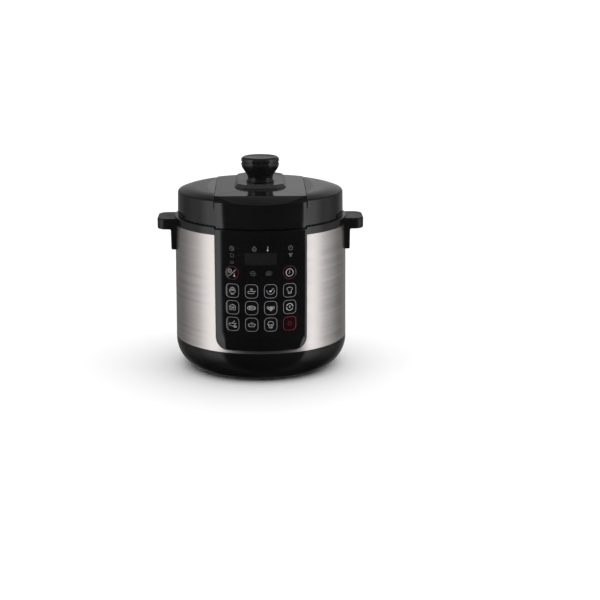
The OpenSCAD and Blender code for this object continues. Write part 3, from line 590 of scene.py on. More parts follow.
def bump_from(
    tree: bpy.types.NodeTree, shader: bpy.types.Node, height: bpy.types.NodeSocket, depth: float
) -> None:
    """Raises a shader's surface by a height.

    Args:
        tree: The material's tree.
        shader: The shader.
        height: The height, from 0 to 1.
        depth: How deep the relief is, in metres.
    """
    bump = add_node(tree, "ShaderNodeBump", {"Strength": 1.0, "Distance": depth, "Height": height})
    tree.links.new(bump.outputs["Normal"], shader.inputs["Normal"])


# ---- Finishes ----


@dataclass(frozen=True)
class Moulded:
    """Moulded plastic or rubber, with the grain of its mould and the marks of handling."""

    name: str
    colour: tuple[float, float, float]
    rough: tuple[float, float]
    grain_depth: float = 0.004 * MM
    grain_scale: float = 1400.0
    lighten: float = 1.5
    specular: float = 0.5
    mottle_scale: float = 26.0
    sheen: float = 0.0
    coat: float = 0.0

    def material(self) -> bpy.types.Material:
        """Builds the material once, and returns it."""
        if self.name in bpy.data.materials:
            return bpy.data.materials[self.name]
        settings = {
            "Specular IOR Level": self.specular, "Sheen Weight": self.sheen,
            "Coat Weight": self.coat, "Coat Roughness": 0.04,
        }
        material, tree, shader = start_material(self.name, self.colour, settings)
        low, high = self.rough
        marks = use_group(
            tree, mottle_group(), {"Scale": self.mottle_scale, "Low": low, "High": high}
        )
        tree.links.new(marks.outputs["Value"], shader.inputs["Roughness"])
        shade = use_group(tree, mottle_group(), {"Scale": 9.0, "Low": 0.0, "High": 1.0})
        pale = tuple(min(1.0, c * self.lighten) for c in self.colour)
        colour = tint_between(tree, shade.outputs["Value"], self.colour, pale)
        tree.links.new(colour, shader.inputs["Base Color"])
        grain = use_group(tree, grain_group(), {"Scale": self.grain_scale})
        bump_from(tree, shader, grain.outputs["Height"], self.grain_depth)
        return material


class Worked(Enum):
    """How a metal's surface was left."""

    BRUSHED = "brushed"
    CAST = "cast"


@dataclass(frozen=True)
class Metal:
    """Bare or coated metal, brushed round the axis or left as cast."""

    name: str
    colour: tuple[float, float, float]
    rough: tuple[float, float]
    worked: Worked = Worked.BRUSHED
    depth: float = 0.003 * MM
    lines: float = 2600.0
    run: float = 2.4
    anisotropic: float = 0.0
    metallic: float = 1.0
    lighten: float = 1.15

    def material(self) -> bpy.types.Material:
        """Builds the material once, and returns it."""
        if self.name in bpy.data.materials:
            return bpy.data.materials[self.name]
        settings = {"Metallic": self.metallic, "Anisotropic": self.anisotropic}
        material, tree, shader = start_material(self.name, self.colour, settings)
        low, high = self.rough
        pale = tuple(min(1.0, c * self.lighten) for c in self.colour)
        if self.worked is Worked.BRUSHED:
            lines = use_group(tree, brushed_group(), {"Lines": self.lines, "Length": self.run})
            height, mask = lines.outputs["Height"], lines.outputs["Drift"]
        else:
            height = use_group(tree, grain_group(), {"Scale": 700.0}).outputs["Height"]
            mask = use_group(
                tree, mottle_group(), {"Scale": 40.0, "Low": 0.0, "High": 1.0}
            ).outputs["Value"]
        colour = tint_between(tree, mask, self.colour, pale)
        tree.links.new(colour, shader.inputs["Base Color"])
        spread = add_node(
            tree,
            "ShaderNodeMapRange",
            {"Value": mask, "From Min": 0.25, "From Max": 0.75, "To Min": low, "To Max": high},
        )
        tree.links.new(spread.outputs["Result"], shader.inputs["Roughness"])
        bump_from(tree, shader, height, self.depth)
        return material


@dataclass(frozen=True)
class Board:
    """A circuit board's lacquer, with its copper tracks showing through."""

    name: str
    colour: tuple[float, float, float] = (0.012, 0.09, 0.035)
    track: tuple[float, float, float] = (0.03, 0.19, 0.07)

    def material(self) -> bpy.types.Material:
        """Builds the material once, and returns it."""
        if self.name in bpy.data.materials:
            return bpy.data.materials[self.name]
        material, tree, shader = start_material(self.name, self.colour, {"Roughness": 0.35})
        place = add_node(tree, "ShaderNodeTexCoord").outputs["Object"]
        cells = add_node(
            tree, "ShaderNodeTexVoronoi", {"Vector": place, "Scale": 260.0},
            distance="MANHATTAN", feature="F1",
        )
        edge = add_node(
            tree, "ShaderNodeMapRange",
            {"Value": cells.outputs["Distance"], "From Min": 0.35, "From Max": 0.45},
        )
        tree.links.new(
            tint_between(tree, edge.outputs["Result"], self.colour, self.track), shader.inputs["Base Color"]
        )
        bump_from(tree, shader, edge.outputs["Result"], 0.03 * MM)
        return material


GLOSS_BLACK = Moulded(
    "gloss_black_plastic", (0.0042, 0.0042, 0.0046), (0.06, 0.12), grain_depth=0.0006 * MM,
    grain_scale=420.0, lighten=1.6,
)
SATIN_BLACK = Moulded(
    "satin_black_plastic", (0.0060, 0.0060, 0.0064), (0.30, 0.42), grain_depth=0.006 * MM, specular=0.4,
)
BASE_BLACK = Moulded(
    "base_black_plastic", (0.0040, 0.0040, 0.0044), (0.14, 0.22), grain_depth=0.001 * MM, specular=0.3,
)
PLINTH_GREY = Moulded(
    "plinth_satin_plastic", (0.024, 0.024, 0.025), (0.20, 0.28), grain_depth=0.004 * MM,
)
KNOB_BLACK = Moulded("knob_satin_black", (0.0105, 0.0105, 0.0110), (0.16, 0.24), grain_depth=0.002 * MM)
FASCIA_BLACK = Moulded(
    "fascia_gloss_black", (0.0030, 0.0030, 0.0034), (0.05, 0.10), grain_depth=0.0004 * MM,
    grain_scale=300.0,
)
KEY_BLACK = Moulded(
    "key_gloss_black", (0.0034, 0.0034, 0.0038), (0.07, 0.13), grain_depth=0.0008 * MM,
)
KEY_RED = Moulded("key_gloss_red", (0.0095, 0.0016, 0.0020), (0.07, 0.13), grain_depth=0.0008 * MM)
SMOKED = Moulded(
    "smoked_window", (0.0085, 0.0085, 0.0088), (0.04, 0.08), grain_depth=0.0003 * MM, coat=0.3,
)
INK_GREY = Moulded("print_light_grey", (0.26, 0.27, 0.28), (0.42, 0.55), grain_scale=2600.0, lighten=1.2)
INK_WHITE = Moulded("print_white", (0.62, 0.62, 0.62), (0.42, 0.55), grain_scale=2600.0, lighten=1.15)
INK_DIM = Moulded("print_dim_grey", (0.12, 0.12, 0.125), (0.42, 0.55), grain_scale=2600.0)
INK_RED = Moulded("print_red", (0.20, 0.020, 0.035), (0.42, 0.55), grain_scale=2600.0, lighten=1.3)
RUBBER = Moulded("foot_rubber_black", (0.016, 0.016, 0.016), (0.62, 0.80), grain_depth=0.02 * MM)
SILICONE = Moulded(
    "seal_silicone", (0.62, 0.62, 0.58), (0.38, 0.52), grain_depth=0.006 * MM, lighten=1.1, sheen=0.2,
)
SWITCH_PLASTIC = Moulded("switch_plastic", (0.018, 0.018, 0.020), (0.35, 0.50))
LAMP_RED = Moulded("lamp_lens_red", (0.022, 0.004, 0.004), (0.12, 0.20), grain_depth=0.001 * MM)
FLOAT_RED = Moulded("float_red_silicone", (0.10, 0.008, 0.007), (0.40, 0.55), sheen=0.15)
DISPLAY_GREY = Moulded("display_cell", (0.30, 0.32, 0.29), (0.20, 0.30), grain_depth=0.001 * MM)
FUSE_CERAMIC = Moulded("fuse_ceramic", (0.70, 0.70, 0.64), (0.45, 0.60), grain_scale=600.0, lighten=1.1)
WIRE_RED = Moulded("wire_insulation", (0.32, 0.020, 0.014), (0.35, 0.50))
STEEL = Metal(
    "brushed_stainless", (0.68, 0.637, 0.622), (0.20, 0.27), depth=0.0008 * MM, lines=1000.0, run=1.2,
    anisotropic=0.8, lighten=1.22,
)
POT_OUTSIDE = Metal(
    "pot_hard_grey", (0.085, 0.085, 0.092), (0.34, 0.44), depth=0.002 * MM, metallic=0.35,
)
POT_COATING = Moulded(
    "pot_nonstick", (0.012, 0.012, 0.013), (0.34, 0.46), grain_depth=0.012 * MM, grain_scale=1900.0,
    lighten=2.2,
)
ALUMINIUM = Metal("turned_aluminium", (0.62, 0.62, 0.63), (0.24, 0.36), lines=1500.0)
CAST_ALUMINIUM = Metal("cast_aluminium", (0.52, 0.52, 0.53), (0.42, 0.58), Worked.CAST, depth=0.03 * MM)
BRIGHT_ALUMINIUM = Metal("bright_aluminium", (0.80, 0.80, 0.81), (0.14, 0.22), lines=1200.0)
ZINC = Metal("zinc_plated_steel", (0.62, 0.63, 0.64), (0.26, 0.40), Worked.CAST, depth=0.006 * MM)
SHEATH = Metal("element_sheath", (0.20, 0.18, 0.16), (0.40, 0.55), Worked.CAST, depth=0.01 * MM)
BOARD = Board("circuit_board_green")
FLOOR_PAINT = Moulded(
    "studio_floor_paint", (0.90, 0.90, 0.90), (0.55, 0.65), grain_scale=60.0, lighten=1.0, specular=0.15,
)


def seat(
    obj: bpy.types.Object, body: str, finish: object,
    stands_for: Sequence[str] = (),
) -> bpy.types.Object:
    """Shades a finished piece, dresses it, and makes it move with its body.

    Args:
        obj: The piece.
        body: The body that it moves with.
        finish: Its finish.
        stands_for: The CAD nodes that it replaces.

    Returns:
        The piece.
    """
    pick(obj)
    bpy.ops.object.shade_smooth_by_angle(angle=math.radians(32))
    obj.data.materials.clear()
    obj.data.materials.append(finish.material())
    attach(obj, body)
    if stands_for:
        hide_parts(*stands_for)
    LOG.info("%s: %d faces, rides on %s", obj.name, len(obj.data.polygons), body)
    return obj


# ---- Printed symbols ----

PRINT_WEIGHT = 0.62


@dataclass(frozen=True)
class Stroke:
    """One printed line, in millimetres from its symbol's middle."""

    points: Sequence[Point]
    width: float = 0.75
    closed: bool = False

    def path(self, longest: float = 1.2) -> list[Point]:
        """The line's points, close enough together to follow a curved surface.

        Args:
            longest: The greatest distance between two points, in millimetres.

        Returns:
            The points, with the first one again at the end of a closed line.
        """
        corners = list(self.points) + ([self.points[0]] if self.closed else [])
        points = [corners[0]]
        for (x0, z0), (x1, z1) in zip(corners, corners[1:]):
            count = max(1, math.ceil(math.hypot(x1 - x0, z1 - z0) / longest))
            points += [
                (x0 + (x1 - x0) * i / count, z0 + (z1 - z0) * i / count) for i in range(1, count + 1)
            ]
        return points


def ring_stroke(
    centre: Point, rx: float, rz: float, start: float = 0, end: float = 360, width: float = 0.75
) -> Stroke:
    """A printed ellipse, or an arc of one.

    Args:
        centre: Its centre.
        rx: Its half width.
        rz: Its half height.
        start: The arc's first angle, in degrees.
        end: The arc's last angle, in degrees.
        width: The line's width.

    Returns:
        The stroke.
    """
    whole = end - start >= 360
    count = max(6, round(abs(end - start) / 18))
    angles = [math.radians(start + (end - start) * i / count) for i in range(count if whole else count + 1)]
    points = [(centre[0] + rx * math.cos(a), centre[1] + rz * math.sin(a)) for a in angles]
    return Stroke(points, width, whole)


def line_stroke(*points: Point, width: float = 0.75, closed: bool = False) -> Stroke:
    """A printed line through some points."""
    return Stroke(points, width, closed)


class Symbol(Enum):
    """The drawings that are printed on the keys and the panel."""

    RICE = "rice"
    FRY = "fry"
    SOUP = "soup"
    CHEF = "chef"
    STEAM = "steam"
    FISH = "fish"
    GRAIN = "grain"
    REHEAT = "reheat"
    SAUCE = "sauce"
    BAKE = "bake"
    CAKE = "cake"
    POWER = "power"
    MODE = "mode"
    TIMER = "timer"
    MINUS = "minus"
    PLUS = "plus"
    CLOCK = "clock"
    EGG_TIMER = "egg_timer"
    THERMOMETER = "thermometer"
    DELAY = "delay"
    HEAT = "heat"
    SHEET = "sheet"
    DISH = "dish"

    def strokes(self) -> list[Stroke]:
        """The strokes that draw the symbol.

        Returns:
            The strokes, in millimetres.
        """
        drawings = {
            Symbol.RICE: [
                ring_stroke((0, 0.4), 4.8, 4.6, 180, 360), line_stroke((-4.8, 0.4), (4.8, 0.4)),
                ring_stroke((0, 0.8), 4.2, 4.0, 10, 170), line_stroke((-2.4, -5.4), (2.4, -5.4)),
                *[ring_stroke((x, 2.2), 0.5, 0.5, width=0.6) for x in (-1.6, 0, 1.6)],
                line_stroke((0, 5.6), (0, 6.2), width=1.0),
            ],
            Symbol.FRY: [
                line_stroke((-5, 0), (4, 0), (4, -2.6), (3, -3.4), (-4, -3.4), (-5, -2.6), closed=True),
                line_stroke((4, -0.4), (5.2, -0.2), (6.4, 0.6)),
                *[line_stroke((x, 1.6), (x + 0.4, 2.6), (x, 3.6), (x + 0.4, 4.4)) for x in (-2, -0.4, 1.2)],
            ],
            Symbol.SOUP: [
                ring_stroke((0, 0.8), 5.6, 5.4, 180, 360), line_stroke((-5.6, 0.8), (-5.8, 1.8)),
                line_stroke((5.6, 0.8), (5.8, 1.8)), line_stroke((0.4, 0.6), (5.0, 5.0), width=0.9),
                ring_stroke((-0.2, 0.0), 1.3, 0.5, width=1.5),
            ],
            Symbol.CHEF: [
                line_stroke(
                    (-2.2, -4.8), (-2.6, 0.2), (-4.4, 1.6), (-4.0, 3.8), (-2.0, 4.2), (0, 5.2),
                    (2.0, 4.2), (4.0, 3.8), (4.4, 1.6), (2.6, 0.2), (2.2, -4.8), closed=True,
                ),
                line_stroke((-2.0, -2.8), (2.0, -2.8), width=0.6),
            ],
            Symbol.STEAM: [
                line_stroke((-4.4, 0.4), (-4.2, -3.8), (4.2, -3.8), (4.4, 0.4), closed=True),
                ring_stroke((0, 0.6), 5.0, 3.2, 0, 180), line_stroke((0, 4.0), (0, 5.0), width=1.0),
                line_stroke((-2.4, -1.8), (0, -0.6), (2.4, -1.8), width=0.9),
            ],
            Symbol.FISH: [
                ring_stroke((-0.2, 0.2), 6.0, 3.0, width=1.0),
                ring_stroke((-1.4, 0.6), 2.8, 1.0, width=0.9),
                line_stroke((2.4, -0.6), (4.6, 0.6), width=0.8),
            ],
            Symbol.GRAIN: [
                ring_stroke((x, z), 1.1, 1.9, width=0.9)
                for x, z in ((-4, 0.4), (-1.9, -0.8), (0.2, 0.5), (2.2, -0.8), (4.2, 0.5), (0.2, -2.6))
            ],
            Symbol.REHEAT: [
                *[ring_stroke((0, 0), 5.2, 5.2, a, a + 150, width=1.3) for a in (10, 190)],
                *[line_stroke((5.1 * k, 0.9 * k), (3.6 * k, 1.4 * k), width=1.0) for k in (1, -1)],
                line_stroke((0, 2.2), (1.1, 0.2), (0, -1.8), (-1.1, 0.2), width=0.6, closed=True),
            ],
            Symbol.SAUCE: [
                ring_stroke((-0.8, 0.8), 4.8, 4.2, 180, 360), line_stroke((-5.6, 0.8), (4.0, 0.8)),
                line_stroke((-0.4, 1.4), (3.4, 5.2), width=1.0),
                line_stroke((4.0, 0.6), (5.6, 1.4), width=0.9),
                ring_stroke((3.6, -4.2), 2.2, 1.0, width=1.1),
            ],
            Symbol.BAKE: [
                line_stroke(
                    (-3.4, -3.2), (-5.8, 0.2), (-3.2, 1.2), (0, 3.4), (3.2, 1.2), (5.8, 0.2), (3.4, -3.2),
                    closed=True,
                ),
                line_stroke((-1.4, -0.6), (0, 0.4), (1.4, -0.6), width=0.6),
            ],
            Symbol.CAKE: [
                ring_stroke((0, 1.2), 4.4, 3.6, -20, 200), line_stroke((-4.6, -0.4), (4.6, -0.4)),
                line_stroke((-3.4, -0.8), (-2.2, -5.2), (2.2, -5.2), (3.4, -0.8)),
                *[line_stroke((x, -1.2), (0.7 * x, -4.8), width=0.6) for x in (-1.2, 1.2)],
            ],
            Symbol.POWER: [
                ring_stroke((0, -0.2), 2.9, 2.9, 120, 420, width=0.8),
                line_stroke((0, 0.4), (0, 3.4), width=0.8),
            ],
            Symbol.MODE: [
                ring_stroke((-3.6, 3.2), 2.6, 2.6, width=0.7),
                line_stroke((-3.6, 4.4), (-3.6, 3.2), (-2.8, 2.8), width=0.5),
                line_stroke((-5.2, -5.0), (5.4, 5.0), width=0.8),
                ring_stroke((3.2, -4.6), 0.9, 0.9, width=1.1),
                line_stroke((3.2, -3.6), (3.4, -0.8), width=0.9),
            ],
            Symbol.TIMER: [
                ring_stroke((0, 0), 5.6, 5.6, width=1.2),
                line_stroke((0, 3.0), (0, 0), (-1.6, -1.8), width=0.8),
            ],
            Symbol.MINUS: [
                ring_stroke((0, 0), 3.4, 3.4, width=0.7), line_stroke((-1.6, 0), (1.6, 0), width=1.1),
            ],
            Symbol.PLUS: [
                ring_stroke((0, 0), 3.4, 3.4, width=0.7), line_stroke((-1.4, 0), (1.4, 0), width=1.1),
                line_stroke((0, -1.4), (0, 1.4), width=1.1),
            ],
            Symbol.CLOCK: [
                ring_stroke((0, 0), 3.2, 3.2, 60, 390, width=0.65),
                line_stroke((0, 1.8), (0, 0), (1.3, -0.4), width=0.6),
            ],
            Symbol.EGG_TIMER: [
                ring_stroke((0, -0.4), 3.0, 2.9, width=0.65),
                line_stroke((-0.9, 3.4), (0.9, 3.4), width=0.65),
                line_stroke((-1.2, -0.4), (0, -0.9), (1.0, 0.2), width=0.55),
            ],
            Symbol.THERMOMETER: [
                ring_stroke((-0.2, -2.3), 0.7, 0.7, width=1.2),
                line_stroke((-0.2, -1.6), (0, 3.2), width=0.8),
                line_stroke((0.2, 3.4), (1.3, 3.4), width=0.5),
            ],
            Symbol.DELAY: [
                ring_stroke((0, 0), 3.2, 3.2, width=0.75), line_stroke((0, 1.5), (0, -0.4), width=0.7),
            ],
            Symbol.HEAT: [
                *[ring_stroke((x, 1.6), 0.7, 0.6, width=0.8) for x in (-2.1, 0, 2.1)],
                ring_stroke((0, -1.6), 0.9, 0.9, width=0.9),
                line_stroke((-2.2, 0.2), (2.2, 0.2), width=0.6),
            ],
            Symbol.SHEET: [
                line_stroke(
                    (-2.2, -2.6), (-2.2, 2.6), (1.0, 2.6), (2.4, 1.2), (2.4, -2.6), width=0.5, closed=True,
                ),
            ],
            Symbol.DISH: [
                line_stroke((-2.6, -2.0), (-2.6, 1.4), (2.6, 1.4), (2.6, -2.0), width=0.5, closed=True),
                line_stroke((-1.6, -0.2), (0, 0.4), (1.6, -0.2), width=0.5),
            ],
        }
        return drawings[self]


def print_on(
    name: str, strokes: Sequence[Stroke], centre: Point, radius: float, proud: float = 0.07 * MM
) -> bpy.types.Object:
    """Prints strokes on the curved front, as a film that stands a little proud.

    Args:
        name: The piece's name.
        strokes: The strokes, in millimetres.
        centre: The symbol's middle, along the curved surface and above the ground.
        radius: The radius of the surface.
        proud: How far the film stands out.

    Returns:
        The printed piece.
    """
    curve = bpy.data.curves.new(name, "CURVE")
    curve.dimensions = "3D"
    curve.bevel_depth = 0.5 * MM
    curve.bevel_resolution = 1
    curve.use_fill_caps = True
    for stroke in strokes:
        path = stroke.path()
        spline = curve.splines.new("POLY")
        spline.points.add(len(path) - 1)
        for point, (x, z) in zip(spline.points, path):
            point.co = (centre[0] + x * MM, 0, centre[1] + z * MM, 1)
            point.radius = stroke.width * PRINT_WEIGHT
    obj = bpy.data.objects.new(name, curve)
    bpy.context.scene.collection.objects.link(obj)
    pick(obj)
    bpy.ops.object.convert(target="MESH")
    obj = newest(name)
    with Edit(obj) as edit:
        edit.everything()
        bpy.ops.transform.resize(value=(1, proud / curve_half(strokes), 1), center_override=(0, 0, 0))
    wrap(obj, radius)
    return obj


def curve_half(strokes: Sequence[Stroke]) -> float:
    """Half the width of the widest stroke, in metres."""
    return max(s.width for s in strokes) * PRINT_WEIGHT * 0.5 * MM


def rounded_path(width: float, height: float, corner: float, inset: float) -> list[Point]:
    """A rounded rectangle, in millimetres from its middle.

    Args:
        width: Its width before the inset, in millimetres.
        height: Its height before the inset, in millimetres.
        corner: Its corner radius before the inset, in millimetres.
        inset: How far it lies inside that outline, in millimetres.

    Returns:
        Its points.
    """
    x, z, r = width / 2 - corner, height / 2 - corner, corner - inset
    points = []
    for sx, sz, start in ((1, 1, 0), (-1, 1, 90), (-1, -1, 180), (1, -1, 270)):
        points += arc((sx * x, sz * z), r, start, start + 90, 8)
    return points


# ---- Housing ----


@dataclass
class Housing:
    """The base bowl, the steel wall and the collar."""

    body: str = "housing"
    base_band_h: float = 4 * MM
    floor_inset: float = 23.2 * MM
    foot_h: float = 3.2 * MM
    shell_t: float = 2.6 * MM
    wall_t: float = 0.8 * MM
    spigot_h: float = 6.5 * MM
    pocket_w: float = 52 * MM
    pocket_h: float = 31 * MM
    pocket_corner: float = 3 * MM
    mouth_half_w: float = 15.75 * MM
    mouth_half_h: float = 12 * MM
    fit: float = 0.1 * MM
    spigot_t: float = 2 * MM
    vent_count: int = 24
    vent_w: float = 3 * MM
    vent_from: float = 34 * MM
    vent_to: float = 62 * MM
    vent_corner: float = 1.4 * MM
    ledge_w: float = 16.3 * MM
    ledge_t: float = 2.5 * MM
    opening_corner: float = 12 * MM
    opening_drop: float = 7.5 * MM
    notch_half_w: float = 68.8 * MM
    opening_lap: float = 6 * MM
    sizes: dict[str, float] = field(init=False)

    def __post_init__(self) -> None:
        """Reads the driving sizes from the frame."""
        wall, collar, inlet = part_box("outer_wall"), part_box("collar"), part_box("mains_inlet")
        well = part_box("pressure_well")
        self.sizes = {
            "foot_r": wall[1].x, "wall_low": wall[0].z, "wall_high": wall[1].z,
            "top": collar[1].z, "collar_r": collar[1].x, "rim_r": well[1].x,
            "wall_top_r": collar[1].x - 0.6 * MM, "inlet_z": (inlet[0].z + inlet[1].z) / 2,
            "inlet_y": inlet[1].y - 2.5 * MM, "ledge_z": well[1].z - 20.2 * MM,
        }

    def bowl_outline(self, inset: float) -> list[Point]:
        """The base bowl's outline from its floor to its upper edge.

        Args:
            inset: How far it lies inside the outer surface.

        Returns:
            Its points, from the axis outwards and up.
        """
        foot_r, top = self.sizes["foot_r"], self.sizes["wall_low"]
        arc_z = top - self.base_band_h
        rise = arc_z - self.foot_h
        radius = (self.floor_inset**2 + rise**2) / (2 * self.floor_inset)
        centre = (foot_r - radius, arc_z)
        start = -math.degrees(math.asin((rise - inset) / (radius - inset)))
        curve = arc(centre, radius - inset, start, 0, 28)
        return [(0, self.foot_h + inset), *curve, (foot_r - inset, top)]

    def build_base(self) -> None:
        """Models the base bowl, with its inlet pocket and cooling slots."""
        s = self.sizes
        top = s["wall_low"]
        spigot_r = s["foot_r"] - self.wall_t - self.fit
        outer = self.bowl_outline(0)
        inner = self.bowl_outline(self.shell_t)
        outer[-1:] = fillets(
            [(s["foot_r"], top - self.base_band_h), (s["foot_r"], top, 0.5 * MM), (spigot_r, top)]
        )[1:]
        spigot_top, spigot_in = top + self.spigot_h, spigot_r - self.spigot_t
        spigot = [(spigot_r, spigot_top), (spigot_in, spigot_top), (spigot_in, top)]
        base = lathe("base_bowl_shell", [*outer, *spigot, *reversed(inner)])
        y_floor = s["inlet_y"] - self.shell_t
        low_z, high_z = s["inlet_z"] - self.pocket_h / 2, s["inlet_z"] + self.pocket_h / 2
        x = self.pocket_w / 2
        t = self.shell_t
        tray = block("tray", (-x - t, y_floor, low_z - t), (x + t, y_floor + 0.04, high_z + t))
        solid = lathe("solid", [*self.bowl_outline(0), (0, top)])
        combine(tray, solid, Boolean.KEEP)
        combine(base, tray, Boolean.ADD)
        pocket = block("pocket", (-x, s["inlet_y"], low_z), (x, s["inlet_y"] + 0.04, high_z))
        round_along(pocket, "y", self.pocket_corner, 5)
        combine(base, pocket, Boolean.CUT)
        inlet_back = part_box("mains_inlet")[1].y
        mouth = block(
            "mouth", (-self.mouth_half_w, y_floor - 3 * PAST, s["inlet_z"] - self.mouth_half_h),
            (self.mouth_half_w, inlet_back, s["inlet_z"] + self.mouth_half_h),
        )
        combine(base, mouth, Boolean.CUT)
        combine(base, self.vents(), Boolean.CUT)
        seat(base, self.body, BASE_BLACK, ["base_bowl"])

    def vents(self) -> bpy.types.Object:
        """The cutters of the cooling slots in the floor.

        Returns:
            All of them, in one piece.
        """
        slots = []
        for i in range(self.vent_count):
            half = self.vent_w / 2
            slot = block("slot", (self.vent_from, -half, 0), (self.vent_to, half, PAST))
            round_along(slot, "z", self.vent_corner, 4)
            slot.rotation_euler.z = 2 * math.pi * i / self.vent_count
            bpy.ops.object.transform_apply()
            slots.append(slot)
        return join(slots)

    def build_wall(self) -> None:
        """Models the steel wall, with the opening behind the panel."""
        s = self.sizes
        t = self.wall_t
        wall = lathe(
            "steel_wall",
            [
                (s["foot_r"], s["wall_low"]), (s["wall_top_r"], s["wall_high"]),
                (s["wall_top_r"] - t, s["wall_high"]), (s["foot_r"] - t, s["wall_low"]),
            ],
            steps=256,
        )
        half = self.notch_half_w - self.opening_lap
        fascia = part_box("panel_fascia")
        window = block(
            "window", (-half, -FAR, fascia[0].z + self.opening_lap),
            (half, 0, s["wall_high"] - self.opening_drop),
        )
        round_along(window, "y", self.opening_corner, 6)
        combine(wall, window, Boolean.CUT)
        seat(wall, self.body, STEEL, ["outer_wall"])

    def build_collar(self) -> None:
        """Models the collar, with the notches that take the lid's band."""
        s = self.sizes
        high, top, r = s["wall_high"], s["top"], s["collar_r"]
        ledge_z, ledge_r = s["ledge_z"], s["rim_r"] - self.ledge_w
        ledge_low = ledge_z - self.ledge_t
        spigot_r = s["wall_top_r"] - self.wall_t - self.fit
        collar = lathe(
            "collar_ring",
            fillets([
                (spigot_r, high), (r, high, 0.4 * MM), (r, top, 1.6 * MM), (s["rim_r"], top, 0.8 * MM),
                (s["rim_r"], ledge_z), (ledge_r, ledge_z, 0.6 * MM), (ledge_r, ledge_low, 0.6 * MM),
                (s["rim_r"], ledge_low), (spigot_r - self.shell_t, ledge_z - 6 * MM),
                (spigot_r - self.shell_t, high - self.spigot_h), (spigot_r, high - self.spigot_h),
            ]),
        )
        notch_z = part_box("panel_fascia")[1].z
        notches = join([
            block("notch", (-self.notch_half_w, y, notch_z), (self.notch_half_w, y + FAR, top + PAST))
            for y in (-FAR, 0)
        ])
        combine(collar, notches, Boolean.CUT)
        seat(collar, self.body, GLOSS_BLACK, ["collar"])

    def build(self) -> None:
        """Builds the housing's shells."""
        self.build_base()
        self.build_wall()
        self.build_collar()

    def envelope(self) -> bpy.types.Object:
        """The solid that the wall and the collar enclose.

        Returns:
            A cutter that seats what is fixed outside them.
        """
        s = self.sizes
        return lathe(
            "envelope",
            [
                (0, s["wall_low"]), (s["foot_r"], s["wall_low"]), (s["wall_top_r"], s["wall_high"]),
                (s["collar_r"], s["wall_high"]), (s["collar_r"], s["top"]), (0, s["top"]),
            ],
        )


@dataclass
class Handles:
    """The two side handles."""

    housing: Housing
    grip_t: float = 16.8 * MM
    corner: float = 15 * MM
    leg_w: float = 52 * MM
    leg_out: float = 4.5 * MM
    rim_w: float = 3.2 * MM
    dish: float = 0.25 * MM

    def build_one(self) -> bpy.types.Object:
        """Models the right handle.

        Returns:
            The handle.
        """
        low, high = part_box("handle_right")
        inner_x = self.housing.sizes["collar_r"] - 12 * MM
        leg_x = self.housing.sizes["foot_r"] + self.leg_out
        grip_z = high.z - self.grip_t
        handle = block("handle_grip_right", (inner_x, low.y, grip_z), (high.x, high.y, high.z))
        with Edit(handle) as edit:
            edit.edges(lambda p, d: abs(d.z) > ALONG and p.x > leg_x)
            bpy.ops.mesh.bevel(offset=self.corner, segments=10, affect="EDGES")
            edit.everything()
            bpy.ops.mesh.bisect(plane_co=(leg_x, 0, 0), plane_no=(1, 0, 0))
            edit.faces(lambda p, n: n.z < -ALONG and p.x < leg_x)
            bpy.ops.mesh.extrude_region_move(TRANSFORM_OT_translate={"value": (0, 0, low.z - grip_z)})
            share = self.leg_w / (high.y - low.y)
            bpy.ops.transform.resize(value=(1, share, 1), center_override=(leg_x, 0, low.z))
            edit.faces(lambda p, n: n.z > ALONG and p.x > inner_x)
            bpy.ops.mesh.inset(thickness=self.rim_w, depth=0)
            bpy.ops.transform.translate(value=(0, 0, -self.dish))
        soften(handle, 2.0 * MM, 4, 28)
        return combine(handle, self.housing.envelope(), Boolean.CUT)

    def build(self) -> None:
        """Builds both handles, the left one as the right one's mirror image."""
        right = self.build_one()
        pick(right)
        bpy.ops.object.duplicate()
        left = newest("handle_grip_left")
        left.scale.x = -1
        bpy.ops.object.transform_apply()
        with Edit(left) as edit:
            edit.everything()
            bpy.ops.mesh.normals_make_consistent(inside=False)
        seat(right, "housing", SATIN_BLACK, ["handle_right"])
        seat(left, "housing", SATIN_BLACK, ["handle_left"])


# ---- Control panel ----


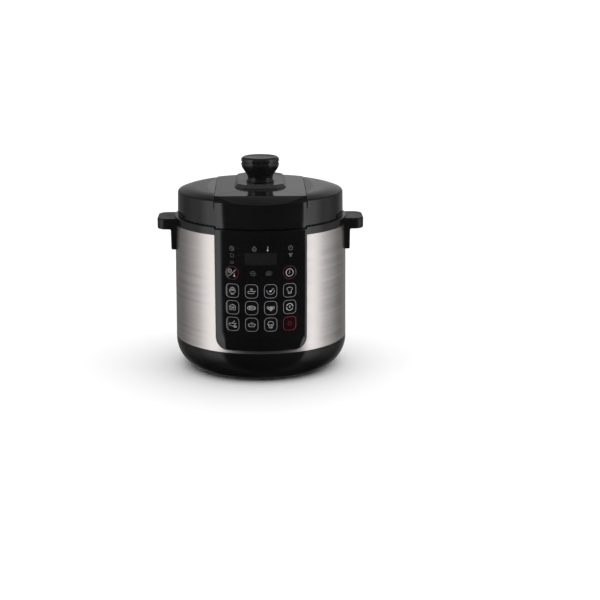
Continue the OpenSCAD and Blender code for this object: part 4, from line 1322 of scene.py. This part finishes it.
@dataclass
class ControlPanel:
    """The fascia, its window, the sixteen keys and the printing."""

    depth: float = 4.2 * MM
    plate_t: float = 2.6 * MM
    lap: float = 6.2 * MM
    corner: float = 19 * MM
    key_corner: float = 6.5 * MM
    key_gap: float = 0.3 * MM
    strip: float = 3.6 * MM
    window_corner: float = 1.5 * MM
    lamp_half_w: float = 1.5 * MM
    lamp_half_h: float = 0.7 * MM
    lamp_pitch: float = 10.4 * MM
    stem_r: float = 2.2 * MM
    radius: float = field(init=False)

    NEARLY_HALF = 0.4999  # a corner radius, as a share of the side, that still leaves a flat

    KEY_SYMBOLS = {
        "key_sauce": Symbol.SAUCE, "key_bake": Symbol.BAKE, "key_cake": Symbol.CAKE,
        "key_power": Symbol.POWER, "key_steam": Symbol.STEAM, "key_fish": Symbol.FISH,
        "key_grain": Symbol.GRAIN, "key_reheat": Symbol.REHEAT, "key_rice": Symbol.RICE,
        "key_fry": Symbol.FRY, "key_soup": Symbol.SOUP, "key_chef": Symbol.CHEF,
    }
    ROUND_SYMBOLS = {
        "key_mode": Symbol.MODE, "key_timer": Symbol.TIMER,
        "key_minus": Symbol.MINUS, "key_plus": Symbol.PLUS,
    }

    def __post_init__(self) -> None:
        """Reads the panel's radius from the frame."""
        self.radius = -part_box("panel_fascia")[0].y

    def along(self, x: float) -> float:
        """The distance along the curved front of a point at a sideways place."""
        return self.radius * math.asin(x / self.radius)

    def flat_box(self, node: str, grow: float = 0) -> Outline:
        """A node's outline, laid flat.

        Args:
            node: The CAD node.
            grow: How much larger the outline is made on each side.

        Returns:
            Its left, right, lower and upper edges.
        """
        low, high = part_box(node)
        return self.along(low.x) - grow, self.along(high.x) + grow, low.z - grow, high.z + grow

    def flat_plate(
        self, name: str, outline: Outline, depth: float, corner: float, front: float = 0
    ) -> bpy.types.Object:
        """A flat plate with rounded corners.

        Args:
            name: The piece's name.
            outline: Its left, right, lower and upper edges.
            depth: How deep it is behind its front.
            corner: Its corner radius.
            front: How far its front lies behind the plane Y = 0.

        Returns:
            The plate.
        """
        left, right, low, high = outline
        plate = block(name, (left, front, low), (right, front + depth, high))
        round_along(plate, "y", corner, 9)
        return plate

    def round_front(self, obj: bpy.types.Object, width: float, segments: int = 2) -> None:
        """Rounds the edge of a flat plate's front.

        Args:
            obj: The plate, whose front lies in the plane Y = 0.
            width: Width of the rounding.
            segments: How many flats make it round.
        """
        with Edit(obj) as edit:
            edit.faces(lambda p, n: n.y < -ALONG and abs(p.y) < 0.01 * MM)
            bpy.ops.mesh.region_to_loop()
            bpy.ops.mesh.bevel(offset=width, segments=segments, affect="EDGES")

    def build_fascia(self) -> None:
        """Models the fascia, with holes for the keys, the window and the lamps."""
        left, right, low, high = self.flat_box("panel_fascia")
        fascia = block("fascia_plate", (left, 0, low), (right, self.plate_t, high))
        with Edit(fascia) as edit:
            edit.edges(lambda p, d: abs(d.y) > ALONG and p.z < low + 1 * MM)
            bpy.ops.mesh.bevel(offset=self.corner, segments=12, affect="EDGES")
            edit.faces(lambda _p, n: n.y > ALONG)
            bpy.ops.mesh.inset(thickness=self.lap, depth=0)
            bpy.ops.mesh.extrude_region_move(
                TRANSFORM_OT_translate={"value": (0, self.depth - self.plate_t, 0)}
            )
        self.round_front(fascia, 0.9 * MM, 3)
        holes = []
        for node in self.KEY_SYMBOLS:
            outline = self.flat_box(node, self.key_gap)
            holes.append(self.hole(outline, self.key_corner + self.key_gap))
        for node in self.ROUND_SYMBOLS:
            outline = self.flat_box(node, self.key_gap)
            holes.append(self.hole(outline, self.NEARLY_HALF * (outline[3] - outline[2])))
        holes.append(self.hole(self.flat_box("display_window"), self.window_corner))
        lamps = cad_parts["light_pipes"].data.vertices
        for x, z in sorted({self.lamp_cell(v.co) for v in lamps}):
            half_w, half_h = self.lamp_half_w, self.lamp_half_h
            lamp = (self.along(x - half_w), self.along(x + half_w), z - half_h, z + half_h)
            holes.append(self.hole(lamp, 0.2 * MM))
        combine(fascia, join(holes), Boolean.CUT)
        slice_up(fascia, self.strip)
        wrap(fascia, self.radius)
        seat(fascia, "housing", FASCIA_BLACK, ["panel_fascia"])

    def lamp_cell(self, place: Vector) -> Point:
        """The middle of the lamp that a vertex of the light pipes belongs to.

        Args:
            place: The vertex's place.

        Returns:
            The lamp's sideways place and its height.
        """
        low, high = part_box("light_pipes")
        x = low.x + self.lamp_half_w if place.x < 0 else high.x - self.lamp_half_w
        top = high.z - self.lamp_half_h
        return x, top - round((top - place.z) / self.lamp_pitch) * self.lamp_pitch

    def hole(self, outline: Outline, corner: float) -> bpy.types.Object:
        """A cutter that goes right through the fascia."""
        return self.flat_plate("hole", outline, 3 * PAST, corner, -PAST)

    def build_window(self) -> None:
        """Models the smoked window over the display."""
        outline = self.flat_box("display_window", -0.08 * MM)
        window = self.flat_plate("display_lens", outline, self.depth, self.window_corner)
        self.round_front(window, 0.25 * MM)
        slice_up(window, self.strip)
        wrap(window, self.radius)
        seat(window, "housing", SMOKED, ["display_window"])

    def build_key(self, node: str, corner: float, finish: Moulded) -> None:
        """Models one key: its cap and its stem.

        Args:
            node: The CAD node, which is also the key's body.
            corner: The cap's corner radius.
            finish: The cap's finish.
        """
        outline = self.flat_box(node)
        cap = self.flat_plate(node + "_cap", outline, self.depth, corner)
        self.round_front(cap, 0.35 * MM, 3)
        slice_up(cap, self.strip)
        wrap(cap, self.radius)
        low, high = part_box(node)
        x, z = (low.x + high.x) / 2, (low.z + high.z) / 2
        cap_y = math.sqrt((self.radius - self.depth) ** 2 - x**2)
        stem = rod("stem", self.stem_r, (x, -cap_y - 1 * MM, z), (x, high.y, z), 32)
        with Edit(stem) as edit:
            edit.edges(lambda p, d: abs(p.y - high.y) < 0.01 * MM)
            bpy.ops.mesh.bevel(offset=0.5 * MM, segments=3, affect="EDGES")
        seat(join([cap, stem]), node, finish, [node])

    def build_keys(self) -> None:
        """Builds the keys, each with its ring and its symbol."""
        for node, symbol in self.KEY_SYMBOLS.items():
            red = symbol is Symbol.POWER
            self.build_key(
                node, self.key_corner, KEY_RED if red else KEY_BLACK
            )
            left, right, low, high = self.flat_box(node)
            centre = ((left + right) / 2, (low + high) / 2)
            path = rounded_path((right - left) / MM, (high - low) / MM, self.key_corner / MM, 0.75)
            ring = print_on(node + "_ring", [Stroke(path, 1.05, True)], centre, self.radius)
            seat(ring, node, INK_RED if red else INK_GREY)
            mark = print_on(node + "_symbol", symbol.strokes(), centre, self.radius)
            seat(mark, node, INK_RED if red else INK_WHITE)
        for node, symbol in self.ROUND_SYMBOLS.items():
            left, right, low, high = self.flat_box(node)
            centre = ((left + right) / 2, (low + high) / 2)
            self.build_key(node, self.NEARLY_HALF * (high - low), KEY_BLACK)
            small = symbol in (Symbol.MINUS, Symbol.PLUS)
            mark = print_on(node + "_symbol", symbol.strokes(), centre, self.radius)
            seat(mark, node, INK_DIM if small else INK_WHITE)
            if not small:
                reach = (high - low) / 2 / MM - 0.7
                circle = [ring_stroke((0, 0), reach, reach, width=0.7)]
                ring = print_on(node + "_ring", circle, centre, self.radius)
                seat(ring, node, INK_RED)

    def build_marks(self) -> None:
        """Prints the small symbols beside the lamps and above the window."""
        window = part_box("display_window")
        top = window[1].z + 5.9 * MM
        rows = (
            (Symbol.CLOCK, -42.5, 0, INK_GREY), (Symbol.SHEET, -42.5, 1, INK_DIM),
            (Symbol.DISH, -42.5, 2, INK_DIM), (Symbol.EGG_TIMER, -9.6, 0, INK_GREY),
            (Symbol.THERMOMETER, 10.4, 0, INK_WHITE), (Symbol.DELAY, 44, 0, INK_GREY),
            (Symbol.HEAT, 44, 1, INK_GREY),
        )
        for symbol, x, row, finish in rows:
            centre = (self.along(x * MM), top - row * self.lamp_pitch)
            mark = print_on("mark_" + symbol.value, symbol.strokes(), centre, self.radius)
            seat(mark, "housing", finish)

    def build(self) -> None:
        """Builds the whole panel."""
        self.build_fascia()
        self.build_window()
        self.build_keys()
        self.build_marks()


# ---- Lid ----


@dataclass
class Lid:
    """The lid's cover, the band across it, and the plinth under the knob."""

    body: str = "lid"
    skirt_t: float = 2.4 * MM
    draft: float = 0.8 * MM
    shoulder_w: float = 18 * MM
    shoulder_h: float = 6.2 * MM
    top_t: float = 4.6 * MM
    band_t: float = 1.8 * MM
    slope_w: float = 28 * MM
    seam: float = 0.7 * MM
    plinth_bevel: float = 5.5 * MM
    plinth_corner: float = 13.5 * MM
    plinth_rim: float = 2.2 * MM
    float_slot_r: float = 3.4 * MM
    bead_share: float = 1.6
    sizes: dict[str, float] = field(init=False)

    def __post_init__(self) -> None:
        """Reads the driving sizes from the frame."""
        cover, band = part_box("lid_cover"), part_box("lid_band")
        self.sizes = {
            "low": cover[0].z, "r": cover[1].x, "top": band[1].z, "side_top": band[1].z - self.shoulder_h,
            "band_r": -band[0].y, "band_low": band[0].z, "band_half": band[1].x,
        }

    def build_cover(self) -> None:
        """Models the cover, cut away where the band crosses it."""
        s = self.sizes
        r, low, side, top = s["r"], s["low"], s["side_top"], s["top"]
        in_r = r - self.skirt_t
        cover = lathe(
            "lid_cover_shell",
            fillets([
                (0, top), (r - self.draft - self.shoulder_w, top, 70 * MM),
                (r - self.draft, side, 4.2 * MM),
                (r, low, 0.8 * MM), (in_r, low, 0.8 * MM), (in_r - self.draft, side - 7.5 * MM, 3 * MM),
                (r - self.shoulder_w - 8 * MM, top - self.top_t, 6 * MM), (0, top - self.top_t),
            ], 8),
            closed=False,
        )
        half = s["band_half"] + self.seam
        gap = block("gap", (-half, -FAR, side - 12 * MM), (half, FAR, top + 2 * PAST))
        combine(cover, gap, Boolean.CUT)
        soften(cover, 0.35 * MM, 2, 40)
        seat(cover, self.body, GLOSS_BLACK, ["lid_cover"])

    def band_solid(self, name: str, inset: float, side_inset: float) -> bpy.types.Object:
        """The solid under the band's surface, sloping in front and flush with the cover behind.

        Args:
            name: The piece's name.
            inset: How far it lies inside the band's top.
            side_inset: How far it lies inside the band's upright wall.

        Returns:
            The solid.
        """
        s = self.sizes
        r, top, side = s["band_r"] - side_inset, s["top"] - inset, s["side_top"] - inset
        low = s["band_low"] - (PAST if inset else 0)
        solid = lathe(
            name, [(0, low), (r, low), (r, side - 1.8 * MM), (r - 9 * MM, top), (0, top)], closed=False
        )
        half = s["band_half"] + (2 * PAST if inset else 0)
        reach = s["band_r"]
        edge = reach - self.slope_w
        wedge = block(
            "wedge", (-half, -reach - 2 * PAST, low - PAST), (half, reach + 2 * PAST, top + 1 * MM)
        )
        fall = (self.shoulder_h + 3 * MM) / self.slope_w
        with Edit(wedge) as edit:
            edit.everything()
            bpy.ops.mesh.bisect(plane_co=(0, -edge, 0), plane_no=(0, 1, 0))
            edit.vertices(lambda p, _n: p.z > low and p.y < -reach)
            bpy.ops.transform.translate(value=(0, 0, -fall * (self.slope_w + 2 * PAST) - 1 * MM))
            edit.vertices(lambda p, _n: p.z > low and abs(p.y + edge) < 0.1 * MM)
            bpy.ops.transform.translate(value=(0, 0, -1 * MM))
        combine(solid, wedge, Boolean.KEEP)
        rear_r = s["r"] - self.draft - self.shoulder_w
        rear_fall = self.shoulder_h / self.shoulder_w
        out, over = reach + 5 * MM, 1 * MM
        inner, outer_z = rear_r - over / rear_fall, top - (out - rear_r) * rear_fall
        trim = lathe("trim", [(inner, top + over), (out, top + over), (out, outer_z)])
        combine(trim, block("rear", (-out, 0, 0), (out, out, 2 * top)), Boolean.KEEP)
        return combine(solid, trim, Boolean.CUT)

    def build_band(self) -> None:
        """Models the band, whose ends come down over the collar's notches."""
        s = self.sizes
        band = self.band_solid("lid_band_shell", 0, 0)
        soften(band, 0.9 * MM, 4, 14)
        combine(band, self.band_solid("inside", self.band_t, 2.1 * MM), Boolean.CUT)
        for x, y, r in self.passages(1.0 * MM):
            bore = rod("bore", r, (x, y, s["side_top"] - 3 * PAST), (x, y, s["top"] + PAST))
            combine(band, bore, Boolean.CUT)
        seat(band, self.body, GLOSS_BLACK, ["lid_band"])

    def passages(self, gap: float) -> list[tuple[float, float, float]]:
        """Where the steam pipe, the float and the spindle pass through the lid.

        Args:
            gap: The gap left round each of them.

        Returns:
            Each one's X, Y and radius with the gap.
        """
        rows = []
        for node in ("steam_pipe", "float_pin", "knob_spindle"):
            low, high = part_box(node)
            radius = (high.x - low.x) / 2
            if node == "float_pin":
                radius /= self.bead_share
            rows.append(((low.x + high.x) / 2, (low.y + high.y) / 2, radius + gap))
        return rows

    def build_plinth(self) -> None:
        """Models the plinth, with its sloping sides and the float's slot."""
        low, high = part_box("lid_plinth")
        plinth = block("lid_plinth_block", low, high)
        centre = (low + high) / 2
        size = high - low
        b = 2 * self.plinth_bevel
        round_along(plinth, "z", self.plinth_corner, 1)
        with Edit(plinth) as edit:
            edit.faces(lambda _p, n: n.z > ALONG)
            bpy.ops.transform.resize(
                value=((size.x - b) / size.x, (size.y - b) / size.y, 1), center_override=centre
            )
            edit.faces(lambda _p, n: n.z > ALONG)
            bpy.ops.mesh.inset(thickness=self.plinth_rim, depth=0)
            bpy.ops.transform.translate(value=(0, 0, -0.15 * MM))
        soften(plinth, 0.9 * MM, 4, 12)
        for x, y, r in self.passages(0.3 * MM):
            combine(plinth, rod("bore", r, (x, y, low.z - PAST), (x, y, high.z + PAST)), Boolean.CUT)
        float_low, float_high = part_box("float_pin")
        x, y = (float_low.x + float_high.x) / 2, (float_low.y + float_high.y) / 2
        r = self.float_slot_r
        slot = block("slot", (x - r, y - r, high.z - 1.4 * MM), (x + 7 * MM, y + r, high.z + PAST))
        round_along(slot, "z", 3.2 * MM, 6)
        combine(plinth, slot, Boolean.CUT)
        seat(plinth, self.body, PLINTH_GREY, ["lid_plinth"])

    def build(self) -> None:
        """Builds the lid's outer pieces."""
        self.build_cover()
        self.build_band()
        self.build_plinth()


@dataclass
class Knob:
    """The knob that turns the lock."""

    body: str = "knob"
    neck_r: float = 19.4 * MM
    foot_r: float = 21.3 * MM

    def build(self) -> None:
        """Models the knob: foot ring, waist, swelling head, groove and dished top."""
        low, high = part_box("knob")
        z0, z1, r = low.z, high.z, high.x
        knob = lathe(
            "knob_grip",
            fillets([
                (0, z0), (self.foot_r, z0, 0.6 * MM), (self.foot_r, z0 + 2.6 * MM, 0.9 * MM),
                (self.neck_r, z0 + 3.8 * MM, 1.2 * MM), (self.neck_r, z0 + 9.2 * MM, 18 * MM),
                (r - 0.9 * MM, z0 + 23.2 * MM, 15 * MM), (r - 0.1 * MM, z0 + 28.2 * MM, 1.2 * MM),
                (r - 1.5 * MM, z0 + 31.0 * MM, 0.4 * MM), (r - 1.5 * MM, z0 + 31.7 * MM, 0.2 * MM),
                (r, z0 + 32.3 * MM, 0.5 * MM), (r - 0.2 * MM, z0 + 36.2 * MM, 3.6 * MM),
                (r - 3.6 * MM, z1, 2.6 * MM), (r - 9 * MM, z1 - 1.6 * MM, 8 * MM), (0, z1 - 3 * MM),
            ], 9),
            steps=160,
            closed=False,
        )
        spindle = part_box("knob_spindle")
        radius = spindle[1].x + 0.05 * MM
        combine(knob, rod("bore", radius, (0, 0, z0 - PAST), (0, 0, spindle[1].z), 64), Boolean.CUT)
        seat(knob, self.body, KNOB_BLACK, ["knob"])


@dataclass
class SteamValve:
    """The weighted steam valve behind the knob."""

    body: str = "steam_valve"
    rib_count: int = 18
    rib_r: float = 1.1 * MM

    def build(self) -> None:
        """Models the valve's ribbed head and its lever."""
        low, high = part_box("steam_valve")
        r = high.x
        y = low.y + r
        z0, z1 = low.z, high.z
        head = lathe(
            "steam_valve_head",
            fillets([
                (0, z0), (r - 2 * MM, z0, 0.6 * MM), (r - 2 * MM, z0 + 3.6 * MM, 0.8 * MM),
                (r, z0 + 4.6 * MM, 0.8 * MM), (r, z1 - 2 * MM, 2.4 * MM), (r - 3.4 * MM, z1, 1.6 * MM),
                (3.2 * MM, z1 - 0.6 * MM, 0.5 * MM), (2.4 * MM, z1 - 1.6 * MM, 0.4 * MM),
                (0, z1 - 1.6 * MM),
            ]),
            steps=96,
            closed=False,
        )
        ribs = []
        for i in range(self.rib_count):
            angle = 2 * math.pi * (i + 0.5) / self.rib_count
            x_rib, y_rib = (r + 0.7 * MM) * math.cos(angle), (r + 0.7 * MM) * math.sin(angle)
            if y_rib < r - 1.5 * MM:
                low_end, high_end = (x_rib, y_rib, z0 + 6 * MM), (x_rib, y_rib, z1 + PAST)
                ribs.append(rod("rib", self.rib_r, low_end, high_end, 16))
        combine(head, join(ribs), Boolean.CUT)
        lever = block("lever", (-3 * MM, r - 4 * MM, z0 + 5 * MM), (3 * MM, high.y - y, z0 + 12 * MM))
        soften(lever, 1.2 * MM, 3)
        combine(head, lever, Boolean.ADD)
        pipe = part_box("steam_pipe")
        bore = rod("bore", pipe[1].x + 0.1 * MM, (0, 0, z0 - PAST), (0, 0, z0 + 10 * MM))
        combine(head, bore, Boolean.CUT)
        head.location.y = y
        pick(head)
        bpy.ops.object.transform_apply()
        seat(head, self.body, SATIN_BLACK, ["steam_valve"])


@dataclass
class CookingPot:
    """The inner pot, grey outside and coated inside."""

    body: str = "pot"
    wall_t: float = 1.8 * MM
    edge_r: float = 22 * MM
    taper: float = 3 * MM
    flange_w: float = 13 * MM
    flange_t: float = 2.2 * MM

    def build(self) -> None:
        """Models the pot with its flange, and dresses its inside apart."""
        low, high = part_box("inner_pot")
        flange_r, z0, z1 = high.x, low.z, high.z
        r = flange_r - self.flange_w
        t = self.wall_t
        pot = lathe(
            "cooking_pot",
            fillets([
                (0, z0), (r - self.taper, z0, self.edge_r), (r, z1 - self.flange_t, 0.8 * MM),
                (flange_r, z1 - self.flange_t, 1.0 * MM), (flange_r, z1, 1.0 * MM), (r - t, z1, 2.4 * MM),
                (r - self.taper - t, z0 + t, self.edge_r - t), (0, z0 + t),
            ], 12),
            closed=False,
        )
        seat(pot, self.body, POT_OUTSIDE, ["inner_pot"])
        pot.data.materials.append(POT_COATING.material())
        for face in pot.data.polygons:
            outwards = face.normal.x * face.center.x + face.normal.y * face.center.y
            inside = face.center.xy.length < r + 1 * MM and (outwards < -1e-6 or face.normal.z > 0.5)
            face.material_index = 1 if inside else 0
        self.build_levels(r - t, z0, z1)

    def build_levels(self, inner_r: float, z0: float, z1: float) -> None:
        """Prints the level marks inside the back of the pot.

        Args:
            inner_r: The radius of the pot's inside at its top.
            z0: The height of the pot's floor.
            z1: The height of its flange.
        """
        strokes = []
        for i in range(5):
            z = 30 + 22 * i
            strokes.append(line_stroke((-9, z), (9, z), width=0.9))
            strokes += [line_stroke((-5, z + d), (5, z + d), width=0.6) for d in (7.3, 14.6) if i < 4]
        strokes.append(line_stroke((0, 30), (0, 118), width=0.6))
        radius = inner_r - 1.1 * MM
        marks = print_on("pot_level_marks", strokes, (0, z0 + self.wall_t), radius, 0.06 * MM)
        marks.rotation_euler.z = math.pi
        pick(marks)
        bpy.ops.object.transform_apply()
        lean = self.taper / (z1 - z0)
        with Edit(marks) as edit:
            edit.everything()
            middle_z = (z0 + z1) / 2
            bpy.ops.transform.rotate(
                value=-math.atan(lean), orient_axis="X", center_override=(0, radius, middle_z)
            )
        seat(marks, self.body, INK_GREY)


# ---- What the housing and the lid hold ----


class Inside:
    """The CAD nodes that keep their own shape, and the finish of each."""

    FINISHES = {
        "feet": SATIN_BLACK, "foot_pads": RUBBER, "foot_screws": ZINC, "handle_screws": ZINC,
        "display_module": DISPLAY_GREY, "light_pipes": LAMP_RED, "control_board": BOARD,
        "key_switches": SWITCH_PLASTIC, "pressure_well": ALUMINIUM, "reflector_sleeve": BRIGHT_ALUMINIUM,
        "heating_plate": CAST_ALUMINIUM, "heating_element": SHEATH, "temperature_sensor": ALUMINIUM,
        "sensor_spring": ZINC, "sensor_holder": ZINC, "pressure_switch": SWITCH_PLASTIC,
        "thermal_fuse": FUSE_CERAMIC, "power_board": BOARD, "mains_inlet": SWITCH_PLASTIC,
        "inlet_screws": ZINC, "wire_harness": WIRE_RED, "inner_lid": ALUMINIUM, "sealing_ring": SILICONE,
        "inner_lid_screws": ZINC, "steam_pipe": ZINC, "steam_filter": ALUMINIUM, "float_guide": ZINC,
        "float_pin": FLOAT_RED, "knob_spindle": ZINC, "lock_ring": CAST_ALUMINIUM, "spindle_nut": ZINC,
    }

    def build(self) -> None:
        """Gives each kept node its finish."""
        for name, finish in self.FINISHES.items():
            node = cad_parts[name]
            if not node.material_slots:
                node.data.materials.append(None)
            for slot in node.material_slots:
                slot.material = finish.material()
            LOG.info("%s: finished as %s", name, finish.name)


# ---- Studio ----


@dataclass
class Studio:
    """The floor, the overhead light, the surroundings and the camera."""

    camera_at: tuple[float, float, float] = (0.0, -2.155, 0.632)
    yaw: float = 1.63
    pitch: float = 13.91
    lens: float = 84.5
    sun_energy: float = 3.6
    sun_spread: float = 110
    surround: tuple[Point, ...] = (
        (-180, 0.34), (-160, 0.16), (-128, 0.14), (-96, 0.40), (-72, 1.20), (-55, 1.60), (-51, 0.05),
        (0, 0.03), (59, 0.05), (62, 1.80), (74, 1.25), (98, 0.42), (130, 0.14), (158, 0.24), (180, 0.42),
    )
    overhead_dark: tuple[float, float] = (0.42, 0.92)
    below_dark: tuple[float, float] = (-0.72, -0.36)
    dark_level: float = 0.10

    def build_camera(self) -> None:
        """Adds the camera."""
        data = bpy.data.cameras.new("camera")
        data.lens = self.lens
        data.sensor_width = 36
        camera = bpy.data.objects.new("camera", data)
        bpy.context.scene.collection.objects.link(camera)
        camera.location = self.camera_at
        camera.rotation_euler = (math.radians(90 - self.pitch), 0, -math.radians(self.yaw))
        bpy.context.scene.camera = camera

    def build_sun(self) -> None:
        """Adds a broad overhead light, which leaves a soft shadow under the cooker."""
        data = bpy.data.lights.new("overhead", "SUN")
        data.energy = self.sun_energy
        data.angle = math.radians(self.sun_spread)
        light = bpy.data.objects.new("overhead", data)
        bpy.context.scene.collection.objects.link(light)
        light.rotation_euler = (math.radians(-8), math.radians(6), 0)
        light.visible_glossy = False

    def build_world(self) -> None:
        """Surrounds the object: dark in front, bright at both sides, paler behind, white to the camera."""
        scene = bpy.context.scene
        world = bpy.data.worlds.new("surroundings")
        scene.world = world
        world.use_nodes = True
        tree = world.node_tree
        place = add_node(tree, "ShaderNodeTexCoord").outputs["Generated"]
        split = add_node(tree, "ShaderNodeSeparateXYZ", {"Vector": place})
        ahead = add_node(tree, "ShaderNodeMath", {0: split.outputs["Y"], 1: -1.0}, operation="MULTIPLY")
        angle = add_node(
            tree, "ShaderNodeMath", {0: split.outputs["X"], 1: ahead.outputs[0]}, operation="ARCTAN2"
        )
        turn = self.ranged(tree, angle.outputs[0], (-math.pi, math.pi), (0.0, 1.0))
        shades = add_node(tree, "ShaderNodeValToRGB", {"Fac": turn})
        ramp = shades.color_ramp
        ramp.interpolation = "EASE"
        stops = [((azimuth + 180) / 360, level) for azimuth, level in self.surround]
        ramp.elements[0].position, ramp.elements[1].position = stops[0][0], stops[-1][0]
        for position, _level in stops[1:-1]:
            ramp.elements.new(position)
        for element, (_position, level) in zip(ramp.elements, stops):
            element.color = (level, level, level, 1)
        high = self.ranged(tree, split.outputs["Z"], self.overhead_dark, (1.0, self.dark_level))
        low = self.ranged(tree, split.outputs["Z"], self.below_dark, (self.dark_level, 1.0))
        level = add_node(tree, "ShaderNodeMath", {0: high, 1: low}, operation="MULTIPLY")
        seen = add_node(tree, "ShaderNodeLightPath").outputs["Is Camera Ray"]
        background = tree.nodes["Background"].inputs
        strength = add_node(
            tree, "ShaderNodeMix", {0: seen, 2: level.outputs[0], 3: 1.0}, data_type="FLOAT"
        )
        tree.links.new(strength.outputs[0], background["Strength"])
        white = (1, 1, 1, 1)
        mix = add_node(
            tree, "ShaderNodeMix", {0: seen, 6: shades.outputs["Color"], 7: white}, data_type="RGBA"
        )
        tree.links.new(mix.outputs[2], background["Color"])
        scene.view_settings.view_transform = "Standard"

    def ranged(
        self, tree: bpy.types.NodeTree, value: bpy.types.NodeSocket, old: Point, new: Point
    ) -> bpy.types.NodeSocket:
        """Maps a value from one range to another, and holds it there.

        Args:
            tree: The tree it is in.
            value: The value.
            old: The least and the greatest value that count.
            new: What those two become.

        Returns:
            The mapped value.
        """
        limits = {"From Min": old[0], "From Max": old[1], "To Min": new[0], "To Max": new[1]}
        return add_node(tree, "ShaderNodeMapRange", {"Value": value, **limits}).outputs["Result"]

    def build_floor(self) -> None:
        """Adds the pale floor."""
        bpy.ops.object.select_all(action="DESELECT")
        bpy.ops.mesh.primitive_plane_add(size=60)
        floor = newest("studio_floor")
        floor.data.materials.append(FLOOR_PAINT.material())
        floor.visible_glossy = False

    def build(self) -> None:
        """Builds the studio."""
        self.build_camera()
        self.build_sun()
        self.build_world()
        self.build_floor()


def main() -> None:
    """Builds the studio and the cooker."""
    logging.basicConfig(level=logging.INFO, format="%(name)s %(message)s")
    Studio().build()
    housing = Housing()
    housing.build()
    Handles(housing).build()
    ControlPanel().build()
    Lid().build()
    Knob().build()
    SteamValve().build()
    CookingPot().build()
    Inside().build()


if __name__ == "__main__":
    main()
